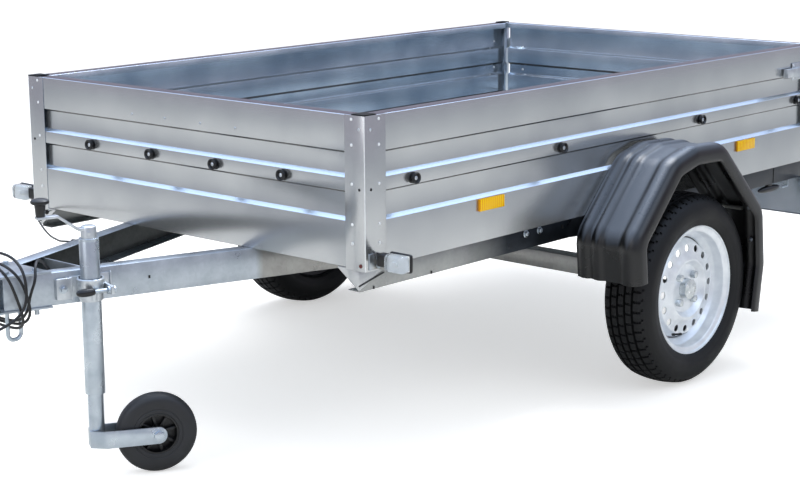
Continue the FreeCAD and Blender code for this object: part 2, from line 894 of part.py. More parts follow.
def rim():
    # Pressed steel rim with a drop well and a dished disc with round holes
    barrel = folded([
        (rim_flange_radius, -rim_flange_y),
        (rim_seat_radius - rim_wall, -rim_flange_y),
        (rim_seat_radius - rim_wall, rim_well_inner_y - bead_width / 2),
        (rim_well_radius, rim_well_inner_y + bead_width / 2),
        (rim_well_radius, rim_well_outer_y),
        (rim_seat_radius - rim_wall, rim_well_outer_y + bead_width),
        (rim_seat_radius - rim_wall, rim_flange_y),
        (rim_flange_radius, rim_flange_y),
    ], -rim_wall)
    disc = folded([
        (rim_well_radius - rim_wall / 2, rim_well_outer_y - bead_width),
        (rim_well_radius - rim_wall / 2, rim_well_outer_y),
        (disc_hole_circle + disc_hole_radius + rim_wall, disc_ring_y - rim_wall),
        (disc_hole_circle - disc_hole_radius - rim_wall, disc_ring_y),
        (disc_hat_radius, disc_hat_y),
        (disc_hat_radius - rim_wall * 2, disc_hat_y),
        (hub_flange_radius + rim_wall, disc_face_y),
        (disc_bore_radius, disc_face_y),
    ], -rim_wall)
    whole = joined([turned_y(barrel, wheel_y, 0.0, wheel_radius), turned_y(disc, wheel_y, 0.0, wheel_radius)])
    for i in range(disc_hole_count):
        angle = 2 * math.pi * i / disc_hole_count
        x = disc_hole_circle * math.cos(angle)
        z = wheel_radius + disc_hole_circle * math.sin(angle)
        whole = whole.cut(rod(vec(x, wheel_y, z), vec(x, wheel_y + rim_flange_y, z), disc_hole_radius))
    return whole


def hub():
    # Hub behind the disc, its capped nose and the wheel nuts
    face = wheel_y + disc_face_y - rim_wall
    start = wheel_y - hub_inner_y - rim_wall
    nose_end = wheel_y + disc_face_y + hub_nose_length
    flange = rod(vec(0, face - hub_flange_thickness, wheel_radius), vec(0, face, wheel_radius),
                 hub_flange_radius)
    barrel = rod(vec(0, start, wheel_radius), vec(0, face, wheel_radius), hub_barrel_radius)
    nose = rod(vec(0, face, wheel_radius), vec(0, nose_end, wheel_radius), hub_nose_radius)
    bore = rod(vec(0, start, wheel_radius), vec(0, nose_end - hub_cap_wall, wheel_radius),
               spindle_radius + running_gap)
    solids = [joined([flange, barrel, nose]).cut(bore)]
    seat = wheel_y + disc_face_y
    for i in range(nut_count):
        angle = 2 * math.pi * (i + 0.5) / nut_count
        x = nut_circle * math.cos(angle)
        z = wheel_radius + nut_circle * math.sin(angle)
        corner = nut_across / math.sqrt(3)
        hexagon = [(x + corner * math.cos(math.pi * k / 3), z + corner * math.sin(math.pi * k / 3))
                   for k in range(6)]
        solids.append(prism_y(hexagon, seat, seat + nut_height))
    return solids


# Mudguards

def guard_section():
    # Outer line of the guard's section as (y, rise over the arch): two ribs, a lip and a rounded edge
    start = half_panel + seat_gap
    line = [(start, 0.0)]
    for place in guard_rib_places:
        line += [
            (start + place - guard_rib_half, 0.0),
            (start + place - guard_rib_half / 2, guard_rib_rise),
            (start + place + guard_rib_half / 2, guard_rib_rise),
            (start + place + guard_rib_half, 0.0),
        ]
    lip_y = guard_outer_y - guard_lip_width
    line += [(lip_y, 0.0), (lip_y + guard_lip_slope, guard_lip_rise)]
    for step in range(guard_round_steps + 1):
        angle = math.pi / 2 * step / guard_round_steps
        line.append((guard_outer_y - guard_round * (1 - math.sin(angle)),
                     guard_lip_rise - guard_round * (1 - math.cos(angle))))
    line.append((guard_outer_y, guard_lip_rise - guard_face_drop))
    return line


def mudguard():
    # Ribbed arch with a rounded outer lip and an outer face around the wheel opening
    arch = [vec(x, 0, z) for x, z in guard_arch]
    path = rounded_path(arch, guard_bend_radius)
    along = (arch[1] - arch[0]).normalize()
    out = vec(along.z, 0, -along.x)
    outline = [arch[0] + vec(0, y, 0) + out * rise for y, rise in folded(guard_section(), guard_wall)]
    ring = Part.makePolygon(outline + [outline[0]])
    return path.makePipeShell([ring], True, True)


def mudguard_stay():
    # Round stay under the mudguard, from the sill to the arch's rear
    x = guard_arch[5][0] + guard_stay_inset
    z = sill_bottom + guard_stay_radius + sill_wall
    return rod(vec(x, half_sill, z), vec(x, guard_outer_y - guard_lip_width, z), guard_stay_radius)


# Lamps, reflectors and buttons

def front_lamp_base():
    # Moulded arm on the corner post
    half = lamp_base_length / 2
    return block(lamp_x - half, lamp_x + half, half_box, half_box + lamp_base_reach,
                 lamp_z - lamp_base_height / 2, lamp_z + lamp_base_height / 2)


def front_lamp_lens():
    half = lamp_lens_length / 2
    low = half_box + lamp_base_reach
    body = block(lamp_x - half, lamp_x + half, low, low + lamp_lens_reach,
                 lamp_z - lamp_lens_height / 2, lamp_z + lamp_lens_height / 2)
    upright = [edge for edge in body.Edges if abs(edge.tangentAt(edge.FirstParameter).z) > 0.9]
    return body.makeFillet(half / 2, upright)


def side_reflector(x):
    half = reflector_length / 2
    return block(x - half, x + half, half_panel, half_panel + reflector_depth,
                 reflector_z - reflector_height / 2, reflector_z + reflector_height / 2)


def cover_button(place, outward):
    # Spool-shaped button for a cover's cord
    foot = rod(place, place + outward * button_foot_depth, button_head_radius)
    neck = rod(place, place + outward * button_reach, button_neck_radius)
    head = rod(place + outward * (button_reach - button_head_depth), place + outward * button_reach,
               button_head_radius)
    return joined([foot, neck, head])


def along_box(share):
    # Place before or behind the axle, as a share of the box's reach on that side
    return share * (box_front if share > 0 else box_rear)


def fixed_buttons():
    solids = []
    for share in button_side_shares:
        solids += both_sides(cover_button(vec(along_box(share), half_panel, button_z), vec(0, 1, 0)))
    for share in button_end_shares:
        solids += both_sides(cover_button(vec(front_plane, share * half_box, button_z), vec(1, 0, 0)))
    return solids


def gate_buttons():
    solids = []
    for share in button_end_shares:
        solids += both_sides(cover_button(vec(rear_plane, share * half_box, button_z), vec(-1, 0, 0)))
    return solids


# Tailgate fittings

def side_latch():
    # Over-centre lever on a base plate, drawn with its hook just short of the striker
    plate_half = latch_height / 2
    lever_half = latch_lever_height / 2
    plate = block(latch_front_x - latch_height, latch_rear_x + latch_height, half_box,
                  half_box + latch_plate, latch_z - plate_half, latch_z + plate_half)
    lever = block(latch_front_x, latch_rear_x + latch_height, half_box + latch_plate,
                  half_box + latch_depth, latch_z - lever_half, latch_z + lever_half)
    hook = block(latch_rear_x, latch_rear_x + latch_height + latch_plate, half_box + latch_plate,
                 half_box + latch_plate * 3, latch_z - lever_half, latch_z + lever_half)
    return joined([plate, lever, hook])


def striker():
    # Flat lug on the tailgate's end, standing clear behind the post
    rear = -box_rear - striker_gap
    low = latch_z - striker_height / 2
    high = latch_z + striker_height / 2
    root = gate_half - striker_root_inset
    arm = block(rear - striker_thickness, rear, root, half_box + striker_reach, low, high)
    foot = block(rear, rear_plane, root, root + striker_height / 2, low, high)
    return joined([arm, foot])


def hinge_places():
    return [-hinge_pitch, 0.0, hinge_pitch]


def frame_hinge(y):
    # Leaf on the rear cross-member, two knuckles and the pin
    half = hinge_width / 2
    leaf = block(rear_member_x - hinge_leaf, rear_member_x, y - half, y + half,
                 pivot_z - hinge_leaf_height / 2, pivot_z)
    inner = hinge_gate_knuckle / 2 + hinge_gap
    solids = [leaf, rod(vec(pivot_x, y - half, pivot_z), vec(pivot_x, y + half, pivot_z), hinge_pin_radius)]
    for side in (-1, 1):
        solids.append(rod(vec(pivot_x, y + side * inner, pivot_z), vec(pivot_x, y + side * half, pivot_z),
                          hinge_knuckle_radius))
        solids.append(block(pivot_x, rear_member_x, y + side * inner, y + side * half,
                            pivot_z - hinge_knuckle_radius, pivot_z))
    return joined(solids)


def gate_hinge(y):
    # Leaf on the tailgate and its middle knuckle
    half = hinge_width / 2
    knuckle_half = hinge_gate_knuckle / 2
    leaf = block(rear_plane - hinge_leaf, rear_plane, y - half, y + half,
                 pivot_z + hinge_leaf_gap, pivot_z + hinge_leaf_height)
    arm = block(pivot_x, rear_plane, y - knuckle_half, y + knuckle_half,
                pivot_z + hinge_leaf_gap, pivot_z + hinge_knuckle_radius)
    barrel = rod(vec(pivot_x, y - knuckle_half, pivot_z), vec(pivot_x, y + knuckle_half, pivot_z),
                 hinge_knuckle_radius)
    hole = rod(vec(pivot_x, y - half, pivot_z), vec(pivot_x, y + half, pivot_z),
               hinge_pin_radius + running_gap)
    return joined([leaf, arm, barrel]).cut(hole)


# Rear lighting

def light_bar():
    # Folded sheet hung from the rear cross-member, its ends cut lower to pass below the sills
    high = sill_bottom + sill_wall + member_end_gap
    outline = folded([
        (bar_x - bar_wall + bar_flange, bar_bottom),
        (bar_x, bar_bottom),
        (bar_x, high),
    ], bar_wall)
    notch = block(bar_x - bar_wall, bar_x + bar_wall, half_sill - bar_end_gap, bar_half,
                  sill_bottom - seat_gap, high)
    return prism_y(outline, -bar_half, bar_half).cut(notch).cut(mirrored(notch))


def tail_block(front, depth, inset):
    # Block on the bar's left end, its face smaller than the lamp's by one inset all round
    outer_y = bar_half - tail_lamp_inset
    low = bar_bottom + tail_lamp_rise
    return block(front - depth, front, outer_y - tail_lamp_length + inset, outer_y - inset,
                 low + inset, low + tail_lamp_height - inset)


def tail_lamp():
    return tail_block(bar_x, tail_lamp_body_depth, 0)


def tail_lens():
    return tail_block(bar_x - tail_lamp_body_depth, tail_lamp_lens_depth, tail_lamp_lens_inset)


def number_plate():
    return block(bar_x - plate_thickness, bar_x, -plate_half, plate_half,
                 sill_bottom - plate_height, sill_bottom)


# Jockey wheel

stem_y = beam_outer_y(stem_x) + stem_offset / math.cos(beam_angle)
beam_out = vec(math.sin(beam_angle), math.cos(beam_angle), 0)
lever_y = stem_offset + stem_tube_radius + clamp_wall + clamp_ear + clamp_grip_radius + clamp_lever_gap


def on_beam(shape):
    # Shape drawn with X along the beam and Y out of it, set at the jockey wheel's foot on the beam
    placed = shape.copy()
    placed.rotate(vec(0, 0, 0), vec(0, 0, 1), -math.degrees(beam_angle))
    foot = vec(stem_x, stem_y, 0) - beam_out * stem_offset
    placed.translate(foot)
    return placed


def jockey_clamp():
    # Plate on the beam and a split ring round the tube
    low = clamp_z - clamp_height / 2
    high = clamp_z + clamp_height / 2
    front = clamp_plate_ahead / math.cos(beam_angle)
    rear = -clamp_plate_behind / math.cos(beam_angle)
    plate = block(rear, front, 0, clamp_plate_thickness, low, high)
    bore_radius = stem_tube_radius + running_gap
    ring = rod(vec(0, stem_offset, low), vec(0, stem_offset, high), bore_radius + clamp_wall)
    web = block(-bore_radius, bore_radius, 0, stem_offset, low, high)
    ears = block(-clamp_ear_thickness * 1.5, clamp_ear_thickness * 1.5, stem_offset,
                 stem_offset + bore_radius + clamp_wall + clamp_ear, low, high)
    slit = block(-clamp_ear_thickness / 2, clamp_ear_thickness / 2, stem_offset,
                 stem_offset + through, low, high)
    bore = rod(vec(0, stem_offset, low), vec(0, stem_offset, high), bore_radius)
    lug = block(rear, rear + clamp_lug_thickness, 0, lever_y + clamp_bolt_radius * 2,
                clamp_z - clamp_bolt_radius * 2, clamp_z + clamp_bolt_radius * 2)
    return on_beam(joined([plate, ring, web, ears, lug]).cut(slit).cut(bore))


def clamp_lever():
    # Bolt head on the clamp's lug, with a lever that passes the ring and ends in a moulded grip
    start = clamp_lug_thickness + seat_gap - clamp_plate_behind / math.cos(beam_angle)
    boss = rod(vec(start, lever_y, clamp_z), vec(start + clamp_ear_thickness, lever_y, clamp_z),
               clamp_bolt_radius * 2)
    arm = rod(vec(start, lever_y, clamp_z), vec(start + clamp_lever_length, lever_y, clamp_z),
              clamp_bolt_radius)
    grip = rod(vec(start + clamp_lever_length - clamp_grip_length, lever_y, clamp_z),
               vec(start + clamp_lever_length, lever_y, clamp_z), clamp_grip_radius)
    return on_beam(joined([boss, arm, grip]))


def jockey_tube():
    # Outer tube, closed on top, open below for the inner tube
    outer = rod(vec(stem_x, stem_y, stem_tube_bottom), vec(stem_x, stem_y, stem_tube_top), stem_tube_radius)
    bore = rod(vec(stem_x, stem_y, stem_tube_bottom), vec(stem_x, stem_y, stem_tube_top - stem_tube_wall * 2),
               inner_tube_radius + running_gap)
    collar = rod(vec(stem_x, stem_y, stem_tube_top),
                 vec(stem_x, stem_y, stem_tube_top + crank_collar_height), crank_collar_radius / 2)
    return joined([outer, collar]).cut(bore)


def crank_arm():
    # Flat strap that rises from the tube's top and then runs level to the grip
    base = stem_tube_top + crank_collar_height
    outline = folded([
        (-crank_strap_width / 2, base),
        (crank_first_reach / 2, base),
        (crank_first_reach + crank_lift, base + crank_lift + crank_rise / 2),
        (crank_reach + crank_strap_width / 2, base + crank_lift + crank_rise / 2),
    ], -crank_strap_thickness)
    strap = prism_y(outline, -crank_strap_width / 2, crank_strap_width / 2)
    strap.translate(vec(stem_x, stem_y, 0))
    return spun_z(strap, stem_x, stem_y, crank_heading_deg)


def crank_grip():
    # Upright grip with a mushroom knob
    low = stem_tube_top + crank_collar_height + crank_lift + crank_rise / 2 + crank_strap_thickness
    x = stem_x + crank_reach
    grip = rod(vec(x, stem_y, low), vec(x, stem_y, low + crank_grip_length), crank_grip_radius)
    knob = rod(vec(x, stem_y, low + crank_grip_length - crank_knob_height),
               vec(x, stem_y, low + crank_grip_length), crank_knob_radius)
    return spun_z(joined([grip, knob]), stem_x, stem_y, crank_heading_deg)


jockey_axle_z = jockey_radius


def to_trail(shape):
    # Shape drawn with the wheel trailing along +X, turned to the way it trails
    placed = shape.copy()
    placed.translate(vec(stem_x, stem_y, 0))
    return spun_z(placed, stem_x, stem_y, jockey_heading_deg)


def jockey_fork():
    # Inner tube with a flat strap bent round the wheel
    inner_y = jockey_width / 2 + fork_side_gap
    low = jockey_axle_z - fork_height / 2
    high = jockey_axle_z + fork_height / 2
    outline = folded([
        (jockey_trail, inner_y + fork_wall),
        (inner_tube_radius, inner_y + fork_wall),
        (-inner_tube_radius, inner_tube_radius),
        (-inner_tube_radius, -inner_tube_radius),
        (inner_tube_radius, -inner_y - fork_wall),
        (jockey_trail, -inner_y - fork_wall),
    ], -fork_wall)
    strap = prism_z(outline, low, high)
    ends = [rod(vec(jockey_trail, side * inner_y, jockey_axle_z),
                vec(jockey_trail, side * (inner_y + fork_wall), jockey_axle_z), fork_height / 2)
            for side in (-1, 1)]
    bolt = rod(vec(jockey_trail, -inner_y - fork_wall * 3, jockey_axle_z),
               vec(jockey_trail, inner_y + fork_wall * 3, jockey_axle_z), jockey_bolt_radius)
    tube = rod(vec(0, 0, low), vec(0, 0, inner_tube_top), inner_tube_radius)
    return to_trail(joined([strap, bolt, tube] + ends))


def jockey_tyre():
    half = jockey_width / 2
    shoulder = half / 3
    outline = [
        (jockey_rim_radius, -half),
        (jockey_radius - shoulder, -half),
        (jockey_radius, shoulder - half),
        (jockey_radius, half - shoulder),
        (jockey_radius - shoulder, half),
        (jockey_rim_radius, half),
    ]
    return to_trail(turned_y(outline, 0.0, jockey_trail, jockey_axle_z))


def jockey_rim():
    # Moulded rim with a hub on the axle bolt and a web with round windows
    half = jockey_width / 2
    bore = jockey_bolt_radius + running_gap
    outline = [
        (bore, -jockey_hub_half),
        (jockey_hub_radius, -jockey_hub_half),
        (jockey_hub_radius, -half / 2),
        (jockey_rim_radius - fork_wall, -half / 2),
        (jockey_rim_radius - fork_wall, -half),
        (jockey_rim_radius, -half),
    ]
    outline = outline + [(r, -y) for r, y in reversed(outline)]
    whole = turned_y(outline, 0.0, jockey_trail, jockey_axle_z)
    for i in range(jockey_window_count):
        angle = 2 * math.pi * i / jockey_window_count
        x = jockey_trail + jockey_window_circle * math.cos(angle)
        z = jockey_axle_z + jockey_window_circle * math.sin(angle)
        whole = whole.cut(rod(vec(x, -half, z), vec(x, half, z), jockey_window_radius))
    return to_trail(whole)


def wire_fittings():
    # Grommet on the right gusset and entry boss on the right drawbar beam
    start = vec(*wire_route[0])
    end = vec(*wire_route[-1])
    inward = vec(-beam_out.x, beam_out.y, 0)
    grommet = rod(start - vec(wire_grommet_depth, 0, 0), start, wire_grommet_radius)
    boss = rod(end, end + inward * wire_clip_depth, wire_grommet_radius)
    return [grommet, boss]


def lamp_wire():
    # Thin cable that sags from behind the front panel to the right drawbar beam
    return tube_along([vec(x, y, z) for x, y, z in wire_route], wire_diameter, "lamp wire")


def eased(share):
    # Smooth step from 0 to 1
    share = min(share, 1)
    return share * share * (3 - 2 * share)


def rounded_share(share):
    # Sine or cosine of a turn, drawn out towards the corners of a square
    return math.copysign(abs(share) ** lead_square_share, share)


def lead_turn_point(step):
    # Point of a loose turn round the nose: over the top, down the left, under and up the right
    turn = step // lead_turn_points
    share = step % lead_turn_points / lead_turn_points
    x = lead_top_places[turn]
    if share < 0.5 and turn < len(lead_bottom_places):
        x += (lead_bottom_places[turn] - x) * eased(share / lead_slant_shares[turn])
    elif turn < len(lead_bottom_places):
        x = lead_bottom_places[turn]
        x += (lead_top_places[turn + 1] - x) * eased(2 * share - 1)
    angle = math.pi / 2 - 2 * math.pi * step / lead_turn_points
    angle -= lead_corner_share * math.sin(4 * angle)
    out = lead_stand_off + lead_layer * step / lead_turn_points
    half_width = beam_outer_y(min(x, beam_front_x)) + nose_plate_overhang + out
    half_height = beam_height / 2 + nose_plate_thickness + out
    return vec(x, half_width * rounded_share(math.cos(angle)),
               (wall_bottom + beam_bottom) / 2 + half_height * rounded_share(math.sin(angle)))


def lead_tube():
    points = [vec(x, y, z) for x, y, z in lead_first_points]
    points += [lead_turn_point(step) for step in range(lead_first_step, lead_last_step + 1)]
    points += [vec(x, y, z) for x, y, z in lead_last_points]
    return tube_along(points, lead_diameter, "lead")


def lead_gland():
    # Cable gland on the front of the tie plate
    mouth = vec(*lead_first_points[0])
    return rod(mouth - vec(lead_gland_length, 0, 0), mouth, lead_gland_radius)


def lead_plug():
    # Round plug with a narrower neck, hanging at the lead's end
    end = vec(*lead_last_points[-1])
    shoulder = end - vec(0, 0, lead_plug_neck_length)
    neck = rod(end, shoulder, lead_plug_neck_radius)
    body = rod(shoulder, shoulder - vec(0, 0, lead_plug_length), lead_plug_radius)
    return joined([neck, body])


def build():
    os.makedirs("parts", exist_ok=True)
    beam = drawbar_beam()
    save("drawbar_left", [beam])
    save("drawbar_right", [mirrored(beam)])
    save("nose_plates", nose_plates())
    save("drawbar_tie", [tie_plate()])
    save("coupling_head", [coupling_head()])
    save("coupling_handle", [coupling_handle()])
    save("nose_bail", [nose_bail()])
    rail = sill()
    save("sill_left", [rail])
    save("sill_right", [mirrored(rail)])
    save("cross_members", cross_member(along_box(front_member_share), -1)
         + cross_member(beam_rear_x - middle_member_gap, -1)
         + cross_member(along_box(rear_floor_member_share), -1) + cross_member(rear_member_x, 1))
    save("corner_gussets", both_sides(corner_gusset()))
    save("floor_panel", [load_floor()])
    save("front_panel", [front_panel()])
    wall = side_panel()
    save("side_panel_left", [wall])
    save("side_panel_right", [mirrored(wall)])
    save("front_posts", both_sides(front_post()))
    save("rear_posts", both_sides(rear_post()))
    save("post_caps", both_sides(post_cap(True)) + both_sides(post_cap(False)))
    save("cover_buttons", fixed_buttons())
    save("axle_tube", [axle_tube()])
    save("axle_brackets", both_sides(axle_bracket()))
    save("swing_arms", both_sides(swing_arm()))
    guard = mudguard()
    save("mudguard_left", [guard])
    save("mudguard_right", [mirrored(guard)])
    save("mudguard_stays", both_sides(mudguard_stay()))
    save("front_lamp_bases", both_sides(front_lamp_base()))
    save("front_lamp_lenses", both_sides(front_lamp_lens()))
    save("side_reflectors", [solid for share in reflector_place_shares
                              for solid in both_sides(side_reflector(along_box(share)))])
    save("side_latches", both_sides(side_latch()))
    save("frame_hinges", [frame_hinge(y) for y in hinge_places()])
    save("light_bar", [light_bar()])
    save("tail_lamps", both_sides(tail_lamp()))
    save("tail_lenses", both_sides(tail_lens()))
    save("number_plate", [number_plate()])
    save("jockey_clamp", [jockey_clamp()])
    save("clamp_lever", [clamp_lever()])
    save("wire_fittings", wire_fittings())
    save("lamp_wire", [lamp_wire()])
    save("lead_gland", [lead_gland()])
    save("lead_tube", [lead_tube()])
    save("lead_plug", [lead_plug()])
    save("tailgate_panel", [gate_panel()])
    save("tailgate_hinges", [gate_hinge(y) for y in hinge_places()])
    save("tailgate_strikers", both_sides(striker()))
    save("tailgate_buttons", gate_buttons())
    wheel_parts = {"tyre": [tyre()], "rim": [rim()], "hub": hub()}
    for name, solids in wheel_parts.items():
        save(name + "_left", solids)
        save(name + "_right", [mirrored(solid) for solid in solids])
    save("jockey_tube", [jockey_tube()])
    save("jockey_crank", [crank_arm()])
    save("jockey_crank_grip", [crank_grip()])
    save("jockey_fork", [jockey_fork()])
    save("jockey_tyre", [jockey_tyre()])
    save("jockey_rim", [jockey_rim()])


build()
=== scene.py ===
import json
import math
import bmesh
import bpy
from mathutils import Matrix, Vector


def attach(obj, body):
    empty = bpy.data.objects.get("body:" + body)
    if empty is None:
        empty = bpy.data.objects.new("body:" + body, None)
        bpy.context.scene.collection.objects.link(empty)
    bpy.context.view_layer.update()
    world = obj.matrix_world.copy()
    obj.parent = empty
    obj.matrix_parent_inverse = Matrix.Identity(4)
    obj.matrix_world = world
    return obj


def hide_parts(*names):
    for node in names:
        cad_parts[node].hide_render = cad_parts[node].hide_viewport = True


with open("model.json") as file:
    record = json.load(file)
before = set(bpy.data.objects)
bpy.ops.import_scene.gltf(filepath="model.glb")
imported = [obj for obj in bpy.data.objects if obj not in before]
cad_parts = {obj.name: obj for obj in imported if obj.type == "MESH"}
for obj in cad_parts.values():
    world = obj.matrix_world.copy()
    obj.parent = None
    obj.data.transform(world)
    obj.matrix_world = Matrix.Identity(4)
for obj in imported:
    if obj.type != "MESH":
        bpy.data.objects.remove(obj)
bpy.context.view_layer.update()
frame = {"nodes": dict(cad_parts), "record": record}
scene = bpy.context.scene

# Utility trailer: +X points forward to the coupling, +Y to the trailer's left, +Z up.
# Sizes of pieces are in millimetres, and places along X are measured from the axle.
MM = 0.001
AXLE_X = -0.5166


def place(x, y, z):
    # Point given in millimetres from the axle's foot
    return Vector((x * MM + AXLE_X, y * MM, z * MM))


# Camera

def view_camera():
    # Three-quarter view from ahead of the trailer's left corner
    yaw, down, roll = -2.4093, 0.2098, -0.0068
    ahead = Vector((math.cos(yaw) * math.cos(down), math.sin(yaw) * math.cos(down), -math.sin(down)))
    right = Vector((math.sin(yaw), -math.cos(yaw), 0))
    up = right.cross(ahead)
    turned_right = math.cos(roll) * right + math.sin(roll) * up
    turned_up = math.cos(roll) * up - math.sin(roll) * right
    camera = bpy.data.objects.new("camera", bpy.data.cameras.new("camera"))
    camera.data.sensor_width = 36.0
    camera.data.lens = 81.09
    camera.data.clip_start = 0.05
    camera.data.clip_end = 200.0
    matrix = Matrix((turned_right, turned_up, -ahead)).transposed().to_4x4()
    matrix.translation = Vector((3.72814, 3.50502, 1.47958))
    camera.matrix_world = matrix
    scene.collection.objects.link(camera)
    scene.camera = camera


# Materials

def linear(colour):
    # sRGB hex value as a linear colour
    values = [int(colour[i:i + 2], 16) / 255 for i in (1, 3, 5)]
    return [v / 12.92 if v <= 0.04045 else ((v + 0.055) / 1.055) ** 2.4 for v in values] + [1.0]


def feed(material, node, inputs):
    # Gives sockets, by name or number, a value or a link
    for name, value in inputs.items():
        if isinstance(value, bpy.types.NodeSocket):
            material.node_tree.links.new(value, node.inputs[name])
        else:
            node.inputs[name].default_value = value


def add(material, kind, inputs={}, **settings):
    # Adds a shader node with what its sockets get and its settings
    node = material.node_tree.nodes.new("ShaderNode" + kind)
    for name, value in settings.items():
        setattr(node, name, value)
    feed(material, node, inputs)
    return node


def new_material(name, sockets):
    # Material with a principled shader, whose slot in the record has its name unless it is set later
    material = bpy.data.materials.new(name)
    material["slot"] = name
    material.use_nodes = True
    shader = material.node_tree.nodes["Principled BSDF"]
    feed(material, shader, sockets)
    return material, shader


def ramp(material, fac, low, high, stops):
    # Colour that goes from low to high while fac goes from one stop to the other
    node = add(material, "MapRange", {0: fac, 1: stops[0], 2: stops[1], 3: 0.0, 4: 1.0})
    mix = add(material, "Mix", {0: node.outputs[0], 6: low, 7: high}, data_type="RGBA")
    return mix.outputs[2]


def per_mm(size):
    # Texture scale at which one cell is this many millimetres; a wave is 0.31 of it
    return 1.0 / (size * MM)


BED_MIDDLE = (-0.4, 0.0, 0.0)


def galvanised_sheet():
    # Continuously hot-dip galvanised sheet, roll formed: glossy light grey, with soft streaks and slow
    # waves that bend its reflections. The faces inside the load space are painted bluer, as a sky
    # reflection, and the ledges that face up get a painted pale sky highlight. Those that face down get
    # a painted brown shade, and the flat tops are painted a darker lilac grey as their reflection
    material, shader = new_material("galvanised_sheet", {"Metallic": 0.86})
    spot = add(material, "TexCoord").outputs["Object"]
    streaks = add(material, "TexNoise", {"Vector": spot, "Scale": per_mm(220), "Detail": 3.0})
    outside = ramp(material, streaks.outputs[0], linear("#B0B3B5"), linear("#C2C4C5"), (0.3, 0.75))
    # Faces inside the load space: painted bluer, as a sky reflection
    inside = ramp(material, streaks.outputs[0], linear("#93A3B2"), linear("#E4ECF2"), (0.3, 0.72))
    normal = add(material, "NewGeometry").outputs["Normal"]
    off = add(material, "VectorMath", {0: spot, 1: BED_MIDDLE}, operation="SUBTRACT")
    level = add(material, "VectorMath", {0: off.outputs[0], 1: (1.0, 1.0, 0.0)}, operation="MULTIPLY")
    outward = add(material, "VectorMath", {0: level.outputs[0], 1: normal}, operation="DOT_PRODUCT")
    lit_tone = ramp(material, outward.outputs["Value"], inside, outside, (-0.1, 0.1))
    way = add(material, "SeparateXYZ", {0: normal})
    # Faces that look down: a painted brown shade
    shaded_below = ramp(material, way.outputs["Z"], linear("#4E4A45"), lit_tone, (-0.5, -0.25))
    # Ledges that look up: a painted pale blue sky highlight
    sky_highlight = ramp(material, way.outputs["Z"], shaded_below, linear("#DFE8F2"), (0.25, 0.45))
    # Flat tops: painted a darker lilac grey as their reflection
    colour = ramp(material, way.outputs["Z"], sky_highlight, linear("#4E4B5C"), (0.93, 0.985))
    gloss = add(material, "MapRange", {0: streaks.outputs[0], 1: 0.3, 2: 0.75, 3: 0.27, 4: 0.2})
    waves = add(material, "TexNoise", {"Vector": spot, "Scale": per_mm(340), "Detail": 0.5})
    slow = add(material, "Bump", {"Strength": 0.3, "Distance": 0.004, "Height": waves.outputs[0]})
    feed(material, shader,
         {"Base Color": colour, "Roughness": gloss.outputs[0], "Normal": slow.outputs[0]})
    return material


def dipped_steel(name, lit_tone, shaded_tone, stops, by_slope=False):
    # Hot-dip galvanised profile: paler and duller than the sheet, with cloudy patches and small grains.
    # Painted shade darkens it towards the wheels, or everywhere but on its flat tops
    material, shader = new_material(name, {"Metallic": 0.8})
    material["slot"] = "galvanised_frame"
    spot = add(material, "TexCoord").outputs["Object"]
    clouds = add(material, "TexNoise", {"Vector": spot, "Scale": per_mm(55), "Detail": 5.0})
    grains = add(material, "TexVoronoi", {"Vector": spot, "Scale": per_mm(8)})
    tone = add(material, "SeparateColor", {0: grains.outputs["Color"]})
    both = add(material, "Math",
               {0: tone.outputs[0], 1: 0.12, 2: clouds.outputs[0]}, operation="MULTIPLY_ADD")
    way = add(material, "NewGeometry").outputs["Normal"] if by_slope else spot
    split = add(material, "SeparateXYZ", {0: way})
    shaded = ramp(material, both.outputs[0], linear(shaded_tone[0]), linear(shaded_tone[1]), (0.3, 0.85))
    bright = ramp(material, both.outputs[0], linear(lit_tone[0]), linear(lit_tone[1]), (0.3, 0.85))
    # Painted shade: the shaded tone where X or the slope falls below the stops
    colour = ramp(material, split.outputs["Z" if by_slope else "X"], shaded, bright, stops)
    gloss = add(material, "MapRange", {0: clouds.outputs[0], 1: 0.3, 2: 0.7, 3: 0.26, 4: 0.38})
    skin = add(material, "TexNoise", {"Vector": spot, "Scale": per_mm(3), "Detail": 3.0})
    bump = add(material, "Bump", {"Strength": 0.2, "Distance": 0.0003, "Height": skin.outputs[0]})
    feed(material, shader,
         {"Base Color": colour, "Roughness": gloss.outputs[0], "Normal": bump.outputs[0]})
    return material


def plated(name, low, high, metallic, rough, patch):
    # Zinc plated metal: even, with faint clouds, a fine skin, and a shine that dulls in patches
    material, shader = new_material(name, {"Metallic": metallic})
    spot = add(material, "TexCoord").outputs["Object"]
    clouds = add(material, "TexNoise", {"Vector": spot, "Scale": per_mm(patch), "Detail": 4.0})
    colour = ramp(material, clouds.outputs[0], linear(low), linear(high), (0.32, 0.68))
    gloss = add(material, "MapRange", {0: clouds.outputs[0], 1: 0.3, 2: 0.7, 3: rough + 0.1, 4: rough})
    skin = add(material, "TexNoise", {"Vector": spot, "Scale": per_mm(2), "Detail": 2.0})
    bump = add(material, "Bump", {"Strength": 0.1, "Distance": 0.0002, "Height": skin.outputs[0]})
    feed(material, shader,
         {"Base Color": colour, "Roughness": gloss.outputs[0], "Normal": bump.outputs[0]})
    return material


